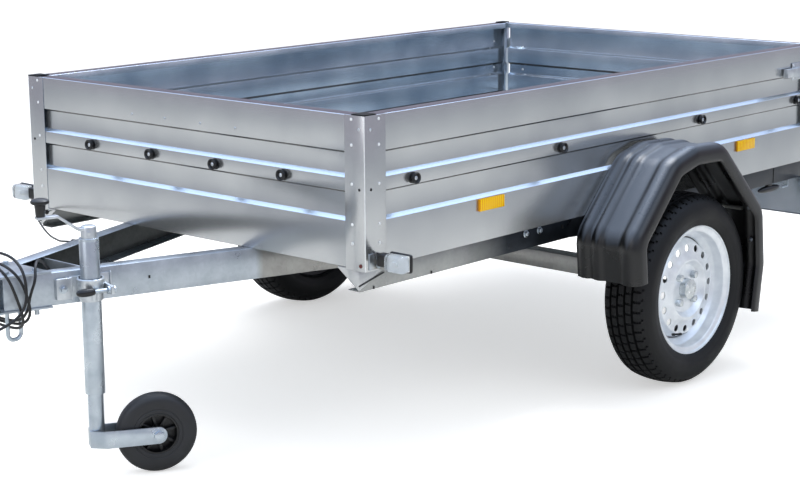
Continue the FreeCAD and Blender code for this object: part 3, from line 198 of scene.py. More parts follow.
def moulded(name, low, high, rough, grain, depth, up_sheen=None, specular=0.5):
    # Moulded plastic or rubber: a fine pebbled grain, with dust that dulls it in patches, and on
    # some pieces a painted bluish grey sky sheen on the faces that look up or ahead
    material, shader = new_material(name, {"IOR": 1.5, "Specular IOR Level": specular})
    spot = add(material, "TexCoord").outputs["Object"]
    dust = add(material, "TexNoise", {"Vector": spot, "Scale": per_mm(70), "Detail": 5.0})
    colour = ramp(material, dust.outputs[0], linear(low), linear(high), (0.4, 0.75))
    if up_sheen:
        # Faces that look up or ahead: a painted bluish grey sky sheen
        normal = add(material, "NewGeometry").outputs["Normal"]
        lift = add(material, "VectorMath", {0: normal, 1: (0.25, 0.0, 0.85)}, operation="DOT_PRODUCT")
        way = add(material, "SeparateXYZ", {0: normal})
        aside = add(material, "Math", {0: way.outputs["Y"]}, operation="ABSOLUTE")
        up = add(material, "Math",
                 {0: aside.outputs[0], 1: -0.8, 2: lift.outputs["Value"]}, operation="MULTIPLY_ADD")
        colour = ramp(material, up.outputs[0], colour, linear(up_sheen), (0.28, 0.7))
    gloss = add(material, "MapRange",
                {0: dust.outputs[0], 1: 0.35, 2: 0.7, 3: rough, 4: min(rough + 0.16, 1.0)})
    pebbles = add(material, "TexVoronoi", {"Vector": spot, "Scale": per_mm(grain)})
    bump = add(material, "Bump",
               {"Strength": depth, "Distance": 0.0003, "Height": pebbles.outputs["Distance"]})
    feed(material, shader,
         {"Base Color": colour, "Roughness": gloss.outputs[0], "Normal": bump.outputs[0]})
    return material


def film_plywood():
    # Plywood faced with a pale blue-grey film that is pressed with a mesh of ridges 11 mm apart
    material, shader = new_material("film_plywood", {"IOR": 1.5, "Roughness": 0.3})
    spot = add(material, "TexCoord").outputs["Object"]
    stretched = add(material, "Mapping", {"Vector": spot, "Scale": (0.08, 1.0, 1.0)})
    grain = add(material, "TexNoise",
                {"Vector": stretched.outputs[0], "Scale": per_mm(14), "Detail": 5.0})
    colour = ramp(material, grain.outputs[0], linear("#8E99A4"), linear("#9FA9B3"), (0.3, 0.7))
    along = add(material, "TexWave", {"Vector": spot, "Scale": per_mm(36)}, bands_direction="X")
    across = add(material, "TexWave", {"Vector": spot, "Scale": per_mm(36)}, bands_direction="Y")
    mesh = add(material, "Math", {0: along.outputs[0], 1: across.outputs[0]}, operation="MAXIMUM")
    bump = add(material, "Bump", {"Strength": 0.08, "Distance": 0.0004, "Height": mesh.outputs[0]})
    feed(material, shader, {"Base Color": colour, "Normal": bump.outputs[0]})
    return material


def lens(name, colour, transmission, pitch, rough):
    # Moulded acrylic lens: see-through and glossy, with a mesh of small prisms that breaks up the light
    material, shader = new_material(name, {
        "Base Color": linear(colour), "Transmission Weight": transmission,
        "Roughness": rough, "IOR": 1.49})
    spot = add(material, "TexCoord").outputs["Object"]
    prisms = add(material, "TexVoronoi",
                 {"Vector": spot, "Scale": per_mm(pitch), "Randomness": 0.0}, distance="CHEBYCHEV")
    bump = add(material, "Bump",
               {"Strength": 0.5, "Distance": 0.0008, "Height": prisms.outputs["Distance"]})
    feed(material, shader, {"Normal": bump.outputs[0]})
    return material


def painted_rim():
    # Steel wheel with silver paint: bright, with a soft shine, and painted near black as shade on the
    # part of the barrel behind the disc
    material, shader = new_material("silver_rim", {"Metallic": 0.3, "Roughness": 0.32})
    spot = add(material, "TexCoord").outputs["Object"]
    clouds = add(material, "TexNoise", {"Vector": spot, "Scale": per_mm(30), "Detail": 4.0})
    paint = ramp(material, clouds.outputs[0], linear("#DCE1E6"), linear("#EEF2F5"), (0.32, 0.68))
    split = add(material, "SeparateXYZ", {0: spot})
    aside = add(material, "Math", {0: split.outputs["Y"]}, operation="ABSOLUTE")
    # Barrel behind the disc: a painted near black shade
    colour = ramp(material, aside.outputs[0], linear("#17181A"), paint, (0.752, 0.756))
    feed(material, shader, {"Base Color": colour})
    return material


def ribbed_reflector():
    # Moulded amber reflector: deep yellow, with upright ribs, 8.5 mm apart so that they show
    material, shader = new_material("amber_reflector",
                                    {"Roughness": 0.25, "IOR": 1.49, "Specular IOR Level": 0.3})
    spot = add(material, "TexCoord").outputs["Object"]
    ribs = add(material, "TexWave", {"Vector": spot, "Scale": per_mm(27)}, bands_direction="X")
    colour = ramp(material, ribs.outputs[0], linear("#F0A000"), linear("#FFD800"), (0.3, 0.7))
    bump = add(material, "Bump", {"Strength": 0.4, "Distance": 0.0006, "Height": ribs.outputs[0]})
    feed(material, shader, {"Base Color": colour, "Normal": bump.outputs[0]})
    return material


SHEET = galvanised_sheet()
BRIGHT_ZINC = ("#9FA8B0", "#BCC4CB")
# Drawbar, axle and cross members: bright ahead of the load bed, with a painted brownish grey shade below
# it
FRAME = dipped_steel("galvanised_frame", BRIGHT_ZINC, ("#8A8986", "#A6A6A2"), (0.64, 0.66))
# Sills: grey at the front, nearly black towards the wheels with a painted shade and dark reflection
SILL = dipped_steel("shaded_sill", ("#8F9190", "#A3A5A3"), ("#1C2026", "#2E343B"), (0.10, 0.32))
# Far beam: a painted dark shade and reflection on its web, while its top stays bright
FAR_BEAM = dipped_steel("shaded_beam", BRIGHT_ZINC, ("#3A3C3C", "#565958"), (0.5, 0.9), True)
# Bright zinc plate on tube: smooth, with a cool shine
TUBE = plated("zinc_tube", "#A8B3BC", "#C0C9D0", 0.88, 0.25, 40)
# Zinc plate on pressings and castings: a little greyer
PRESSING = plated("zinc_pressing", "#B4BABF", "#D0D5D8", 0.85, 0.3, 25)
# Zinc plate on the hubs: brighter
HUB_ZINC = plated("zinc_hub", "#B9BFC2", "#DDE1E2", 0.85, 0.24, 14)
# Aluminium rivets: nearly white
RIVET = plated("aluminium_rivet", "#E4E7E9", "#F3F5F6", 0.35, 0.3, 10)
# Rusted iron: dark red-brown and dull
RUSTED = plated("rusted_bolt", "#4A1F1E", "#6A302A", 0.3, 0.5, 3)
for fastener in (RIVET, RUSTED):
    fastener["slot"] = "zinc_pressing"
RIM_PAINT = painted_rim()
PLY = film_plywood()
# Polypropylene mudguard: near black with a moulded grain, and a painted bluish grey sky sheen on the
# faces that look up or ahead
GUARD_BLACK = moulded("black_moulding", "#060708", "#0B0C0E", 0.26, 2.2, 0.12, "#5E6672")
# Small nylon and polypropylene fittings: black with a smooth shine
FITTING_BLACK = moulded("black_fitting", "#050607", "#0D0E0F", 0.28, 1.5, 0.15)
# Nylon post caps: black, and duller than the other fittings
CAP_NYLON = moulded("cap_nylon", "#050607", "#0D0E0F", 0.5, 1.5, 0.15, specular=0.1)
CAP_NYLON["slot"] = "black_fitting"
# Tyre rubber: dark grey and dull
RUBBER = moulded("tyre_rubber", "#08090A", "#121314", 0.5, 2.5, 0.2, specular=0.3)
# Solid rubber of the jockey wheel: greyer
SOLID_RUBBER = moulded("solid_tyre", "#1A1B1D", "#28292B", 0.5, 3.0, 0.3)
# Cable sheath: black PVC with a soft shine
SHEATH = moulded("cable_sheath", "#08090A", "#111213", 0.34, 1.2, 0.1)
CLEAR = lens("clear_lens", "#EEF3F4", 0.85, 5.0, 0.08)
RED = lens("red_lens", "#B00A0C", 0.25, 6.0, 0.12)
AMBER = ribbed_reflector()
# Blank number plate: white reflective film on aluminium
PLATE = moulded("white_plate", "#E4E6E6", "#F2F3F3", 0.3, 1.5, 0.08)


# Mesh work

def merged_copy(node):
    # Copy of a CAD node's mesh as whole faces
    bm = bmesh.new()
    bm.from_mesh(frame["nodes"][node].data)
    bmesh.ops.remove_doubles(bm, verts=bm.verts, dist=0.00001)
    bmesh.ops.dissolve_limit(bm, angle_limit=math.radians(0.6), verts=bm.verts, edges=bm.edges)
    return bm


def bevelled(bm, edges, width, segments):
    # Rounds the given edges
    if edges:
        bmesh.ops.bevel(bm, geom=edges, offset=width * MM, offset_type="OFFSET", affect="EDGES",
                        segments=segments, profile=0.5, material=-1, clamp_overlap=True)


def round_edges(bm, width, least, most=180.0, segments=2):
    # Rounds the edges whose faces meet at between two angles
    bevelled(bm, [e for e in bm.edges if len(e.link_faces) == 2
                  and math.radians(least) < e.calc_face_angle(0.0) < math.radians(most)], width, segments)


def round_folds(bm):
    # Rounds the long square folds between faces that are wider than a sheet's edge
    folds = []
    for edge in bm.edges:
        length, turn = edge.calc_length(), math.degrees(edge.calc_face_angle(0.0))
        if length > 0.15 and 80.0 < turn < 100.0 and len(edge.link_faces) == 2:
            if all(face.calc_area() / length > 8.0 * MM for face in edge.link_faces):
                folds.append(edge)
    bevelled(bm, folds, 1.4, 3)


def finished(name, bm, material, body="chassis", stands_for=(), sharp=32.0):
    # The bmesh as a piece that rides on a body
    for face in bm.faces:
        face.smooth = True
    for edge in bm.edges:
        edge.smooth = edge.calc_face_angle(0.0) < math.radians(sharp)
    mesh = bpy.data.meshes.new(name)
    bm.to_mesh(mesh)
    bm.free()
    mesh.materials.append(material)
    piece = bpy.data.objects.new(name, mesh)
    scene.collection.objects.link(piece)
    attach(piece, body)
    if stands_for:
        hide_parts(*stands_for)
    return piece


def body_of(node):
    # Name of the body that a CAD node is on
    return next(name for name, nodes in frame["record"]["behaviour"]["bodies"].items() if node in nodes)


def edged(node, material, width):
    # A CAD node with its edges rounded
    bm = merged_copy(node)
    if width:
        round_edges(bm, width, 50.0)
    return finished(node + "_rounded", bm, material, body_of(node), [node])


def folded_sheet(node):
    # A panel with its square folds and its slanted ones rounded
    bm = merged_copy(node)
    round_folds(bm)
    round_edges(bm, 2.2, 25.0, 68.0, 3)
    finished(node + "_rounded", bm, SHEET, body_of(node), [node])


def lathe(outline, steps):
    # Outline of (radius, height) points in millimetres, turned about the Z axis
    bm = bmesh.new()
    line = [bm.verts.new((radius * MM, 0.0, height * MM)) for radius, height in outline]
    runs = [bm.edges.new(pair) for pair in zip(line, line[1:])]
    bmesh.ops.spin(bm, geom=line + runs, cent=(0, 0, 0), axis=(0, 0, 1), angle=math.tau, steps=steps,
                   use_merge=True)
    bmesh.ops.remove_doubles(bm, verts=bm.verts, dist=0.000001)
    bmesh.ops.recalc_face_normals(bm, faces=bm.faces)
    return bm


def bar(sides, radius, low, high, bevel=0.0):
    # Upright round or many-sided bar about the Z axis
    bm = bmesh.new()
    middle = Matrix.Translation((0, 0, (low + high) / 2 * MM))
    bmesh.ops.create_cone(bm, cap_ends=True, segments=sides, radius1=radius * MM, radius2=radius * MM,
                          depth=(high - low) * MM, matrix=middle)
    if bevel:
        round_edges(bm, bevel, 50.0)
    return bm


def slab(x0, x1, y0, y1, z0, z1, bevel=0.0, segments=2):
    # Block between two corners in millimetres from the axle, with rounded edges
    low, high = place(x0, y0, z0), place(x1, y1, z1)
    bm = bmesh.new()
    bmesh.ops.create_cube(bm, size=1.0, matrix=Matrix.Translation((low + high) / 2)
                          @ Matrix.Diagonal([high[i] - low[i] for i in range(3)]).to_4x4())
    if bevel:
        round_edges(bm, bevel, 50.0, segments=segments)
    return bm


def facing(spot, outward):
    # Moves a shape from the origin to a spot, its Z axis turned outward
    return Matrix.Translation(spot) @ Vector(outward).to_track_quat("Z", "Y").to_matrix().to_4x4()


def moved(bm, matrix):
    # The shape, moved; the faces of a mirrored one are turned outwards again
    bmesh.ops.transform(bm, matrix=matrix, verts=bm.verts)
    if matrix.determinant() < 0:
        bmesh.ops.reverse_faces(bm, faces=bm.faces)
    return bm


def gathered(shapes):
    # Several shapes in one bmesh
    whole = bmesh.new()
    for bm in shapes:
        mesh = bpy.data.meshes.new("part")
        bm.to_mesh(mesh)
        bm.free()
        whole.from_mesh(mesh)
        bpy.data.meshes.remove(mesh)
    return whole


def at_each(make, matrices):
    # The same shape at several places
    return gathered([moved(make(), matrix) for matrix in matrices])


def from_axle(bm):
    # Moves a shape that was made at the axle's foot to the origin
    return moved(bm, Matrix.Translation(-place(0, 0, 0)))


def both_faces(half):
    # Closed outline of a ring from its upper half; a point in its middle plane isn't doubled
    return half + [(radius, -height) for radius, height in reversed(half) if height] + [half[0]]


BOTH_SIDES = (Matrix.Identity(4), Matrix.Diagonal((1.0, -1.0, 1.0, 1.0)))
AHEAD, BACK = (1, 0, 0), (-1, 0, 0)


def rounded_line(points, radius, steps):
    # Points of a line whose corners are arcs
    points = [Vector(p) for p in points]
    line = [points[0]]
    for before, corner, after in zip(points, points[1:], points[2:]):
        back, ahead = (before - corner).normalized(), (after - corner).normalized()
        half = back.angle(ahead) / 2
        shorter = min((before - corner).length, (after - corner).length)
        reach = min(radius / math.tan(half), 0.45 * shorter)
        bend = reach * math.tan(half)
        centre = corner + (back + ahead).normalized() * (bend / math.sin(half))
        start = (corner + back * reach - centre).normalized()
        end = (corner + ahead * reach - centre).normalized()
        line += [centre + start.slerp(end, i / steps) * bend for i in range(steps + 1)]
    return line + [points[-1]]


# Road wheels

WHEEL_Y = 746.0
WHEEL_RADIUS = 273.5
TYRE_OUTLINE = [
    (183.6, 58), (184.4, 62.5), (187, 66.5), (191, 69), (196, 70.6), (203, 73.2), (206, 73.6),
    (208, 74.9), (218, 75.8), (228, 75.9), (237, 74.6), (240, 73.2), (246, 71.4), (252, 68.2),
    (257.5, 63.8), (262.5, 58.6), (266.3, 53.2), (268.6, 48), (270, 41), (270.4, 39), (263.4, 37.6),
    (263.4, 33.2), (271.4, 31.8), (272.5, 22), (273, 15.4), (265.8, 14), (265.8, 9.6), (273.3, 8.2),
    (273.5, 0),
]
TYRE_LINING = [(176, 52), (186, 56), (214, 64), (240, 60), (256, 40), (260, 0)]
TREAD_STEPS = 232
TREAD_EDGE = 259.0
GROOVES = (11.8, 35.4)
GROOVE_REACH = 3.2
RIB_SPACING = 23.6
SIPE_EVERY = 4


def tyre_shape():
    # Treaded tyre: four grooves round it, with sipes across the ribs between them
    outline = both_faces(TYRE_OUTLINE)[:-1] + [(r, -y) for r, y in TYRE_LINING]
    outline += [(r, y) for r, y in TYRE_LINING[-2::-1]] + [TYRE_OUTLINE[0]]
    bm = lathe(outline, TREAD_STEPS)
    sipes = []
    for face in bm.faces:
        centre = face.calc_center_median()
        radius, across = math.hypot(centre.x, centre.y) / MM, centre.z / MM
        if radius < TREAD_EDGE or abs(face.normal.z) > 0.75:
            continue
        if any(abs(abs(across) - groove) < GROOVE_REACH for groove in GROOVES):
            continue
        step = int(math.degrees(math.atan2(centre.y, centre.x)) % 360 / 360 * TREAD_STEPS + 0.001)
        if (step + round(across / RIB_SPACING)) % SIPE_EVERY == 0:
            sipes.append(face)
    bmesh.ops.inset_individual(bm, faces=sipes, thickness=1.6 * MM, depth=-4.5 * MM, use_even_offset=True)
    return bm


RIM_BARREL = [
    (146, 9), (149, 14), (162, 24), (164.6, 28), (165, 48), (166, 53), (170, 56.5), (176.5, 57.6),
    (180, 59.4), (181.8, 62.2), (182.4, 65), (183.6, 65.4), (184.4, 64.4), (184.6, 60.6), (183, 56.8),
    (179.6, 54.6), (171.6, 53.6), (168.6, 50.8), (168.2, 28), (167.6, 25.2), (151.4, 12.4), (149, 7.6),
    (149, -28), (151.6, -33), (167.4, -45), (168.2, -50), (171, -54.6), (180, -57), (183, -62),
    (183.4, -65), (182, -65.4), (180.4, -62.6), (178.6, -59.6), (169.4, -57.4), (165.4, -51),
    (164.6, -46.6), (148.6, -34.8), (146, -29), (146, 9),
]
DISC_EDGE = 142.0


def rim_shape(node, outward):
    # The solid's disc with its ventilation holes, inside a rolled barrel with a curled outer edge
    bm = merged_copy(node)
    bmesh.ops.transform(bm, matrix=outward.inverted(), verts=bm.verts)
    outside = [f for f in bm.faces if min(math.hypot(v.co.x, v.co.y) for v in f.verts) > DISC_EDGE * MM]
    bmesh.ops.delete(bm, geom=outside, context="FACES")
    round_edges(bm, 1.2, 40.0)
    return gathered([bm, lathe(RIM_BARREL, 96)])


def round_wheel(turn, radius, height):
    # Moves a shape from the origin out to a radius and round the Z axis by degrees
    return Matrix.Rotation(math.radians(turn), 4, "Z") @ Matrix.Translation((radius * MM, 0, height * MM))


def road_wheels():
    # Rim, tyre, valve and balance weight of each wheel, made about the Z axis and turned outward
    for side, name in ((1, "left"), (-1, "right")):
        body = "wheel_" + name
        outward = facing(place(0, side * WHEEL_Y, WHEEL_RADIUS), (0, side, 0))
        rim = moved(rim_shape("rim_" + name, outward), outward)
        finished("rim_pressing_" + name, rim, RIM_PAINT, body, ["rim_" + name], sharp=35.0)
        tyre = moved(tyre_shape(), outward)
        finished("tyre_tread_" + name, tyre, RUBBER, body, ["tyre_" + name], sharp=28.0)
        valve = gathered([bar(16, 4.2, 0, 9, 1.0), bar(12, 2.9, 9, 27, 0.6), bar(12, 3.6, 22, 30, 0.8)])
        spot = outward @ round_wheel(-118, 139, 34) @ Matrix.Rotation(math.radians(-14), 4, "Y")
        finished("valve_" + name, moved(valve, spot), FITTING_BLACK, body)
        weight = from_axle(slab(0, 7, -19, 19, -4, 4, 2.0))
        spot = outward @ round_wheel(198, 168.5, 52)
        finished("wheel_weight_" + name, moved(weight, spot), PRESSING, body)


# Mudguards

GUARD_ARCH = [
    (333.1, 347.9), (344.9, 469.9), (160, 661.9), (59.9, 685.9), (-80.1, 681), (-300, 468),
    (-318.1, 300), (-297, 160),
]
GUARD_BEND = 80.0
GUARD_WALL = 3.0
GUARD_SECTION = [
    (644.5, 0), (650, 0.4), (655, 2.4), (660, 5), (666, 6), (674, 6), (680, 4.8), (685, 2), (689, 0.2),
    (694, 0.2), (699, 2.2), (704, 4.8), (710, 6), (718, 6), (724, 4.8), (729, 2.2), (734, 0.2),
    (744, 0), (764, 0), (776, -0.6), (783, -0.8), (789, 0.6), (795, 3.6), (801, 6.8), (808, 8.6),
    (817, 9), (826, 8), (834, 5.2), (840.5, 1), (845.5, -5), (848.6, -12), (850, -20), (850, -33),
    (849.4, -39), (846.6, -42.6), (842.6, -44),
]


def guard_shape():
    # Ribbed band with a rounded outer lip and an outer face, swept along the arch and given its wall
    line = [place(p.x, 0, p.y) for p in rounded_line(GUARD_ARCH, GUARD_BEND, 10)]
    bm = bmesh.new()
    points = [bm.verts.new((0, y * MM, rise * MM)) for y, rise in GUARD_SECTION]
    edges = [bm.edges.new(pair) for pair in zip(points, points[1:])]

    def frame_at(i):
        # Turns the section across the arch at one of its points
        along = (line[min(i + 1, len(line) - 1)] - line[max(i - 1, 0)]).normalized()
        out = Vector((0, 1, 0)).cross(along)
        if out.dot(line[i] - place(0, 0, WHEEL_RADIUS)) < 0:
            out = -out
        matrix = Matrix((along, Vector((0, 1, 0)), out)).transposed().to_4x4()
        matrix.translation = line[i]
        return matrix

    bmesh.ops.transform(bm, matrix=frame_at(0), verts=points)
    for i in range(1, len(line)):
        new = bmesh.ops.extrude_edge_only(bm, edges=edges)["geom"]
        points = [g for g in new if isinstance(g, bmesh.types.BMVert)]
        edges = [g for g in new if isinstance(g, bmesh.types.BMEdge)]
        bmesh.ops.transform(bm, matrix=frame_at(i) @ frame_at(i - 1).inverted(), verts=points)
    bmesh.ops.recalc_face_normals(bm, faces=bm.faces)
    top = max(bm.faces, key=lambda f: f.calc_center_median().z)
    if top.normal.z < 0:
        bmesh.ops.reverse_faces(bm, faces=bm.faces)
    bmesh.ops.solidify(bm, geom=bm.faces[:], thickness=GUARD_WALL * MM)
    bmesh.ops.recalc_face_normals(bm, faces=bm.faces)
    return bm


def mudguards():
    # Shell of each mudguard, with the heads of the screws that hold it to its stays
    places = ((-290, 803, 466), (-303, 805, 369), (-290, 690, 466))
    spots = [facing(place(*spot), (1, 0, 0.3)) for spot in places]
    for name, flip in zip(("left", "right"), BOTH_SIDES):
        finished("mudguard_shell_" + name, moved(guard_shape(), flip), GUARD_BLACK, "chassis",
                 ["mudguard_" + name], sharp=40.0)
        screws = at_each(lambda: hex_bolt(8.0, 3.0, 1.0), [flip @ spot for spot in spots])
        finished("mudguard_screws_" + name, screws, PRESSING)


# Small fastenings

def rivet():
    # Domed head of a pop rivet
    return lathe([(3.9, 0), (3.7, 1), (2.7, 1.7), (1.4, 1.9), (1.2, 1.3), (0, 1.2)], 16)


def hex_bolt(size, height, washer):
    # Hexagon head on a washer
    return gathered([bar(6, size * 0.577, washer, washer + height, 0.6),
                     bar(24, size * 0.85, 0, washer, 0.3)])


def small_screw():
    # Low domed head with a round drive hollow
    return lathe([(3.6, 0), (3.5, 0.8), (2.7, 1.5), (1.5, 1.8), (1.3, 0.9), (0, 0.8)], 16)


def rusted_bolt():
    # Domed head without a hollow
    return lathe([(5, 0), (4.8, 1.4), (3.2, 2.8), (0, 3.2)], 16)


POST_X = 1187.0
WALL_Y = 645.0
RIVET_HEIGHTS = (874, 812.5, 718.5, 620.5, 574)


def wall_fastenings():
    # Rivets and screws of the corner posts, outside and inside the load space
    rivets, low_screws, high_screws, bolts, inside, gate = [], [], [], [], [], []
    for side in (-1, 1):
        aside = (0, side, 0)
        rivets += [facing(place(POST_X, side * 603.5, z), AHEAD) for z in RIVET_HEIGHTS]
        rivets += [facing(place(x, side * WALL_Y, z), aside) for x in (1136, -892) for z in RIVET_HEIGHTS]
        for screws, front_z, side_z in ((low_screws, 707, 707), (high_screws, 851, 850)):
            screws.append(facing(place(POST_X, side * 627.5, front_z), AHEAD))
            screws.append(facing(place(1165, side * WALL_Y, side_z), aside))
        high_screws += [facing(place(1185.5, side * y, 815), AHEAD) for y in (68.7, 199.4)]
        bolts.append(facing(place(POST_X, side * 629.4, 522), AHEAD))
        inside += [facing(place(x, side * 642, z), (0, -side, 0))
                   for x in (-889, 1120) for z in (816, 722, 610)]
        inside += [facing(place(1184, side * 560, z), BACK) for z in (810, 716, 610)]
        gate += [facing(place(-940, side * 548, z), AHEAD) for z in (797, 716, 610)]
    finished("wall_rivets", at_each(rivet, rivets), RIVET)
    finished("post_screws", at_each(small_screw, low_screws), FITTING_BLACK)
    finished("plated_screws", at_each(small_screw, high_screws), PRESSING)
    finished("gusset_bolts", at_each(rusted_bolt, bolts), RUSTED)
    finished("inner_rivets", at_each(rivet, inside), RIVET)
    finished("tailgate_rivets", at_each(rivet, gate), RIVET, "tailgate")


def gusset_marks():
    # Painted shadow along a gusset's lower edge, and small dark marks along the sill
    slope = Matrix.Translation(place(1142, 622.4, 481)) @ Matrix.Rotation(math.atan2(21.4, 94.8), 4, "Y")
    # Black slab as a painted shadow under the gusset's slanted edge
    marks = [moved(from_axle(slab(-46, 46, -0.8, 0.8, -1.6, 1.6)), slope)]
    marks += [slab(x - 2, x + 2, 620, 622.6, 455.5, 463, 0.5) for x in (1133, 920)]
    marks += [slab(x - 3, x + 3, 620, 624, 486, 496, 1.0) for x in (534.7, 479.5, 375.9)]
    return gathered(marks)


def post_edges():
    # Painted highlight strip on each front corner's folded edge, and the painted shadow and dark marks
    # below it
    # Near-white strips as painted highlights on the folded edges
    edges = at_each(lambda: slab(1184.6, 1187.2, 642.6, 645.2, 509, 883, 1.2, 3), BOTH_SIDES)
    finished("post_corner_highlights", edges, RIVET)
    finished("gusset_shadow_marks", at_each(gusset_marks, BOTH_SIDES), FITTING_BLACK)


# Buttons for a cover's cord

def button_shape():
    # Spool with a hollow face: a foot, a waist and a head with a rounded rim
    return lathe([(0, 0), (14, 0), (14.5, 1), (14.2, 2.6), (12, 3.4), (9.6, 4.4), (8.8, 6.4), (9, 8.6),
                  (10.6, 9.8), (13.4, 10.4), (14.5, 11.6), (14.5, 14.2), (13.7, 15.6), (12.4, 16),
                  (11, 15.6), (9.8, 14.2), (8.6, 11.6), (0, 11)], 36)


def button_screw():
    # Domed screw head in the button's hollow
    return lathe([(5.2, 11), (5, 12.4), (3.6, 13.4), (1.9, 13.8), (1.7, 12.6), (0, 12.5)], 20)


BUTTON_Z = 715.9


def buttons():
    # Spools with their screws on the side walls, the front panel and the tailgate
    walls = [facing(place(x, side * 643.5, BUTTON_Z), (0, side, 0))
             for x in (1014.9, 417.8, -261.2, -817.6) for side in (1, -1)]
    ends = [side * share * WALL_Y for share in (0.577, 0.192) for side in (1, -1)]
    walls += [facing(place(1185.5, y, BUTTON_Z), AHEAD) for y in ends]
    rear = [facing(place(-941.5, y, BUTTON_Z), BACK) for y in ends]
    finished("button_spools", at_each(button_shape, walls), FITTING_BLACK, "chassis", ["cover_buttons"])
    finished("button_screws", at_each(button_screw, walls), PRESSING)
    finished("tailgate_button_spools", at_each(button_shape, rear), FITTING_BLACK, "tailgate",
             ["tailgate_buttons"])
    finished("tailgate_button_screws", at_each(button_screw, rear), PRESSING, "tailgate")


# Rear lighting and tailgate fittings

def lens_field(rear, y0, y1):
    # One field of a tail lamp's lens
    return slab(rear, -935, y0, y1, 341, 405, 5.0, 4)


def rear_triangle():
    # Three-sided reflector with its apex up
    bm = bmesh.new()
    bmesh.ops.create_cone(bm, cap_ends=True, segments=3, radius1=52 * MM, radius2=50 * MM, depth=7 * MM)
    round_edges(bm, 2.0, 60.0)
    return moved(bm, Matrix.Translation(place(-917.5, 345, 372))
                 @ Matrix.Rotation(-math.pi / 2, 4, "Z") @ Matrix.Rotation(math.pi / 2, 4, "X"))


def rear_lights():
    # Lamp blocks with three lens fields each, triangular reflectors, and two small plate lamps
    bodies = at_each(lambda: slab(-936, -914, 430, 636, 336, 410, 4.0, 3), BOTH_SIDES)
    finished("tail_lamp_bodies", bodies, FITTING_BLACK, "chassis", ["tail_lamps"])
    reds = at_each(lambda: gathered([lens_field(-953, 435, 498), lens_field(-954, 500, 566)]), BOTH_SIDES)
    finished("tail_lens_fields", reds, RED, "chassis", ["tail_lenses"])
    finished("tail_lens_indicators", at_each(lambda: lens_field(-953, 568, 631), BOTH_SIDES), AMBER)
    finished("rear_triangles", at_each(rear_triangle, BOTH_SIDES), RED)
    lamps = at_each(lambda: slab(-934, -914, 286, 318, 424, 446, 3.0, 3), BOTH_SIDES)
    finished("plate_lamps", lamps, FITTING_BLACK)


HINGE_PLACES = [y + dy for y in (-420.0, 0.0, 420.0) for dy in (-20, 20)]
SILL_Y = 620.5
DRAWBAR_SLOPE = 0.33
DRAWBAR_TIP_X = 1950


def fittings():
    # Bolts of the hinges, strikers, latches, nose plates, brackets and mudguard stays
    hinges = [facing(place(-943, y, 487), BACK) for y in HINGE_PLACES]
    gate = [facing(place(-944.5, y, 540), BACK) for y in HINGE_PLACES]
    bolts, screws = [], []
    for side in (1, -1):
        aside = (0, side, 0)
        screws += [facing(place(x, side * 648, z), aside) for x in (-872, -790) for z in (789, 827)]
        bolts += [facing(place(x, side * (DRAWBAR_SLOPE * (DRAWBAR_TIP_X - x) - 20), 518), (0, 0, 1))
                  for x in (1713, 1780)]
        bolts += [facing(place(x, side * 597, 457.5), (0, 0, 1)) for x in (95, 165)]
        bolts += [facing(place(x, side * SILL_Y, z), aside)
                  for x, z in ((60, 484), (200, 484), (478, 497), (537, 497))]
        gate.append(facing(place(-953.8, side * 600, 808), BACK))
    finished("hinge_bolts", at_each(lambda: hex_bolt(9.0, 3.5, 1.0), hinges), TUBE)
    finished("tailgate_bolts", at_each(lambda: hex_bolt(9.0, 3.0, 1.0), gate), TUBE, "tailgate")
    finished("frame_bolts", at_each(lambda: hex_bolt(12.0, 6.0, 1.6), bolts), TUBE)
    finished("latch_screws", at_each(rivet, screws), RIVET)
    finished("beam_marks", slab(1446, 1454, 164.6, 165.6, 470, 478, 1.5), FITTING_BLACK)


def sill_buffer():
    # Long oval rubber on a block below the sill
    oval = bmesh.new()
    bmesh.ops.create_uvsphere(oval, u_segments=28, v_segments=14, radius=1.0)
    moved(oval, Matrix.Translation(place(-735, 606, 437)) @ Matrix.Diagonal((0.064, 0.012, 0.011, 1.0)))
    return gathered([oval, slab(-748, -722, 600, 612, 436, 456, 2.0)])


def rope_hook():
    # Flat hook that points ahead from its shank
    return gathered([slab(-846, -812, 606, 612, 428, 434, 2.0, 3),
                     slab(-850, -844, 600, 612, 428, 456, 2.0)])


def sill_details():
    # Dark seam near each sill's end, with a buffer and a rope hook below it
    seams = at_each(lambda: slab(-741, -739, 619.5, 620.8, 456, 512), BOTH_SIDES)
    finished("sill_seams", seams, FITTING_BLACK)
    finished("sill_buffers", at_each(sill_buffer, BOTH_SIDES), FITTING_BLACK)
    finished("rope_hooks", at_each(rope_hook, BOTH_SIDES), TUBE)


# Front position lamps

def lamp_housing():
    # Shallow shell round the lens, on an arm and a thin flange
    return gathered([slab(1142, 1154, 690, 759, 516, 562, 6.0, 4),
                     slab(1145, 1170, 664, 696, 524, 556, 4.0, 3),
                     slab(1146, 1152, 648, 690, 520, 552, 1.5)])


def lamp_reflector():
    # White backing with a bulb in front of it
    return gathered([slab(1153, 1158, 698, 756, 520.5, 559, 1.5),
                     slab(1157, 1174, 719, 733, 533, 545, 3.0, 3)])


def lamp_foot():
    # Angle of two thin plates on the corner post
    return gathered([slab(1150, 1153, WALL_Y, 676, 514, 550, 0.8),
                     slab(1140, 1176, WALL_Y, 648, 512, 551, 0.8)])


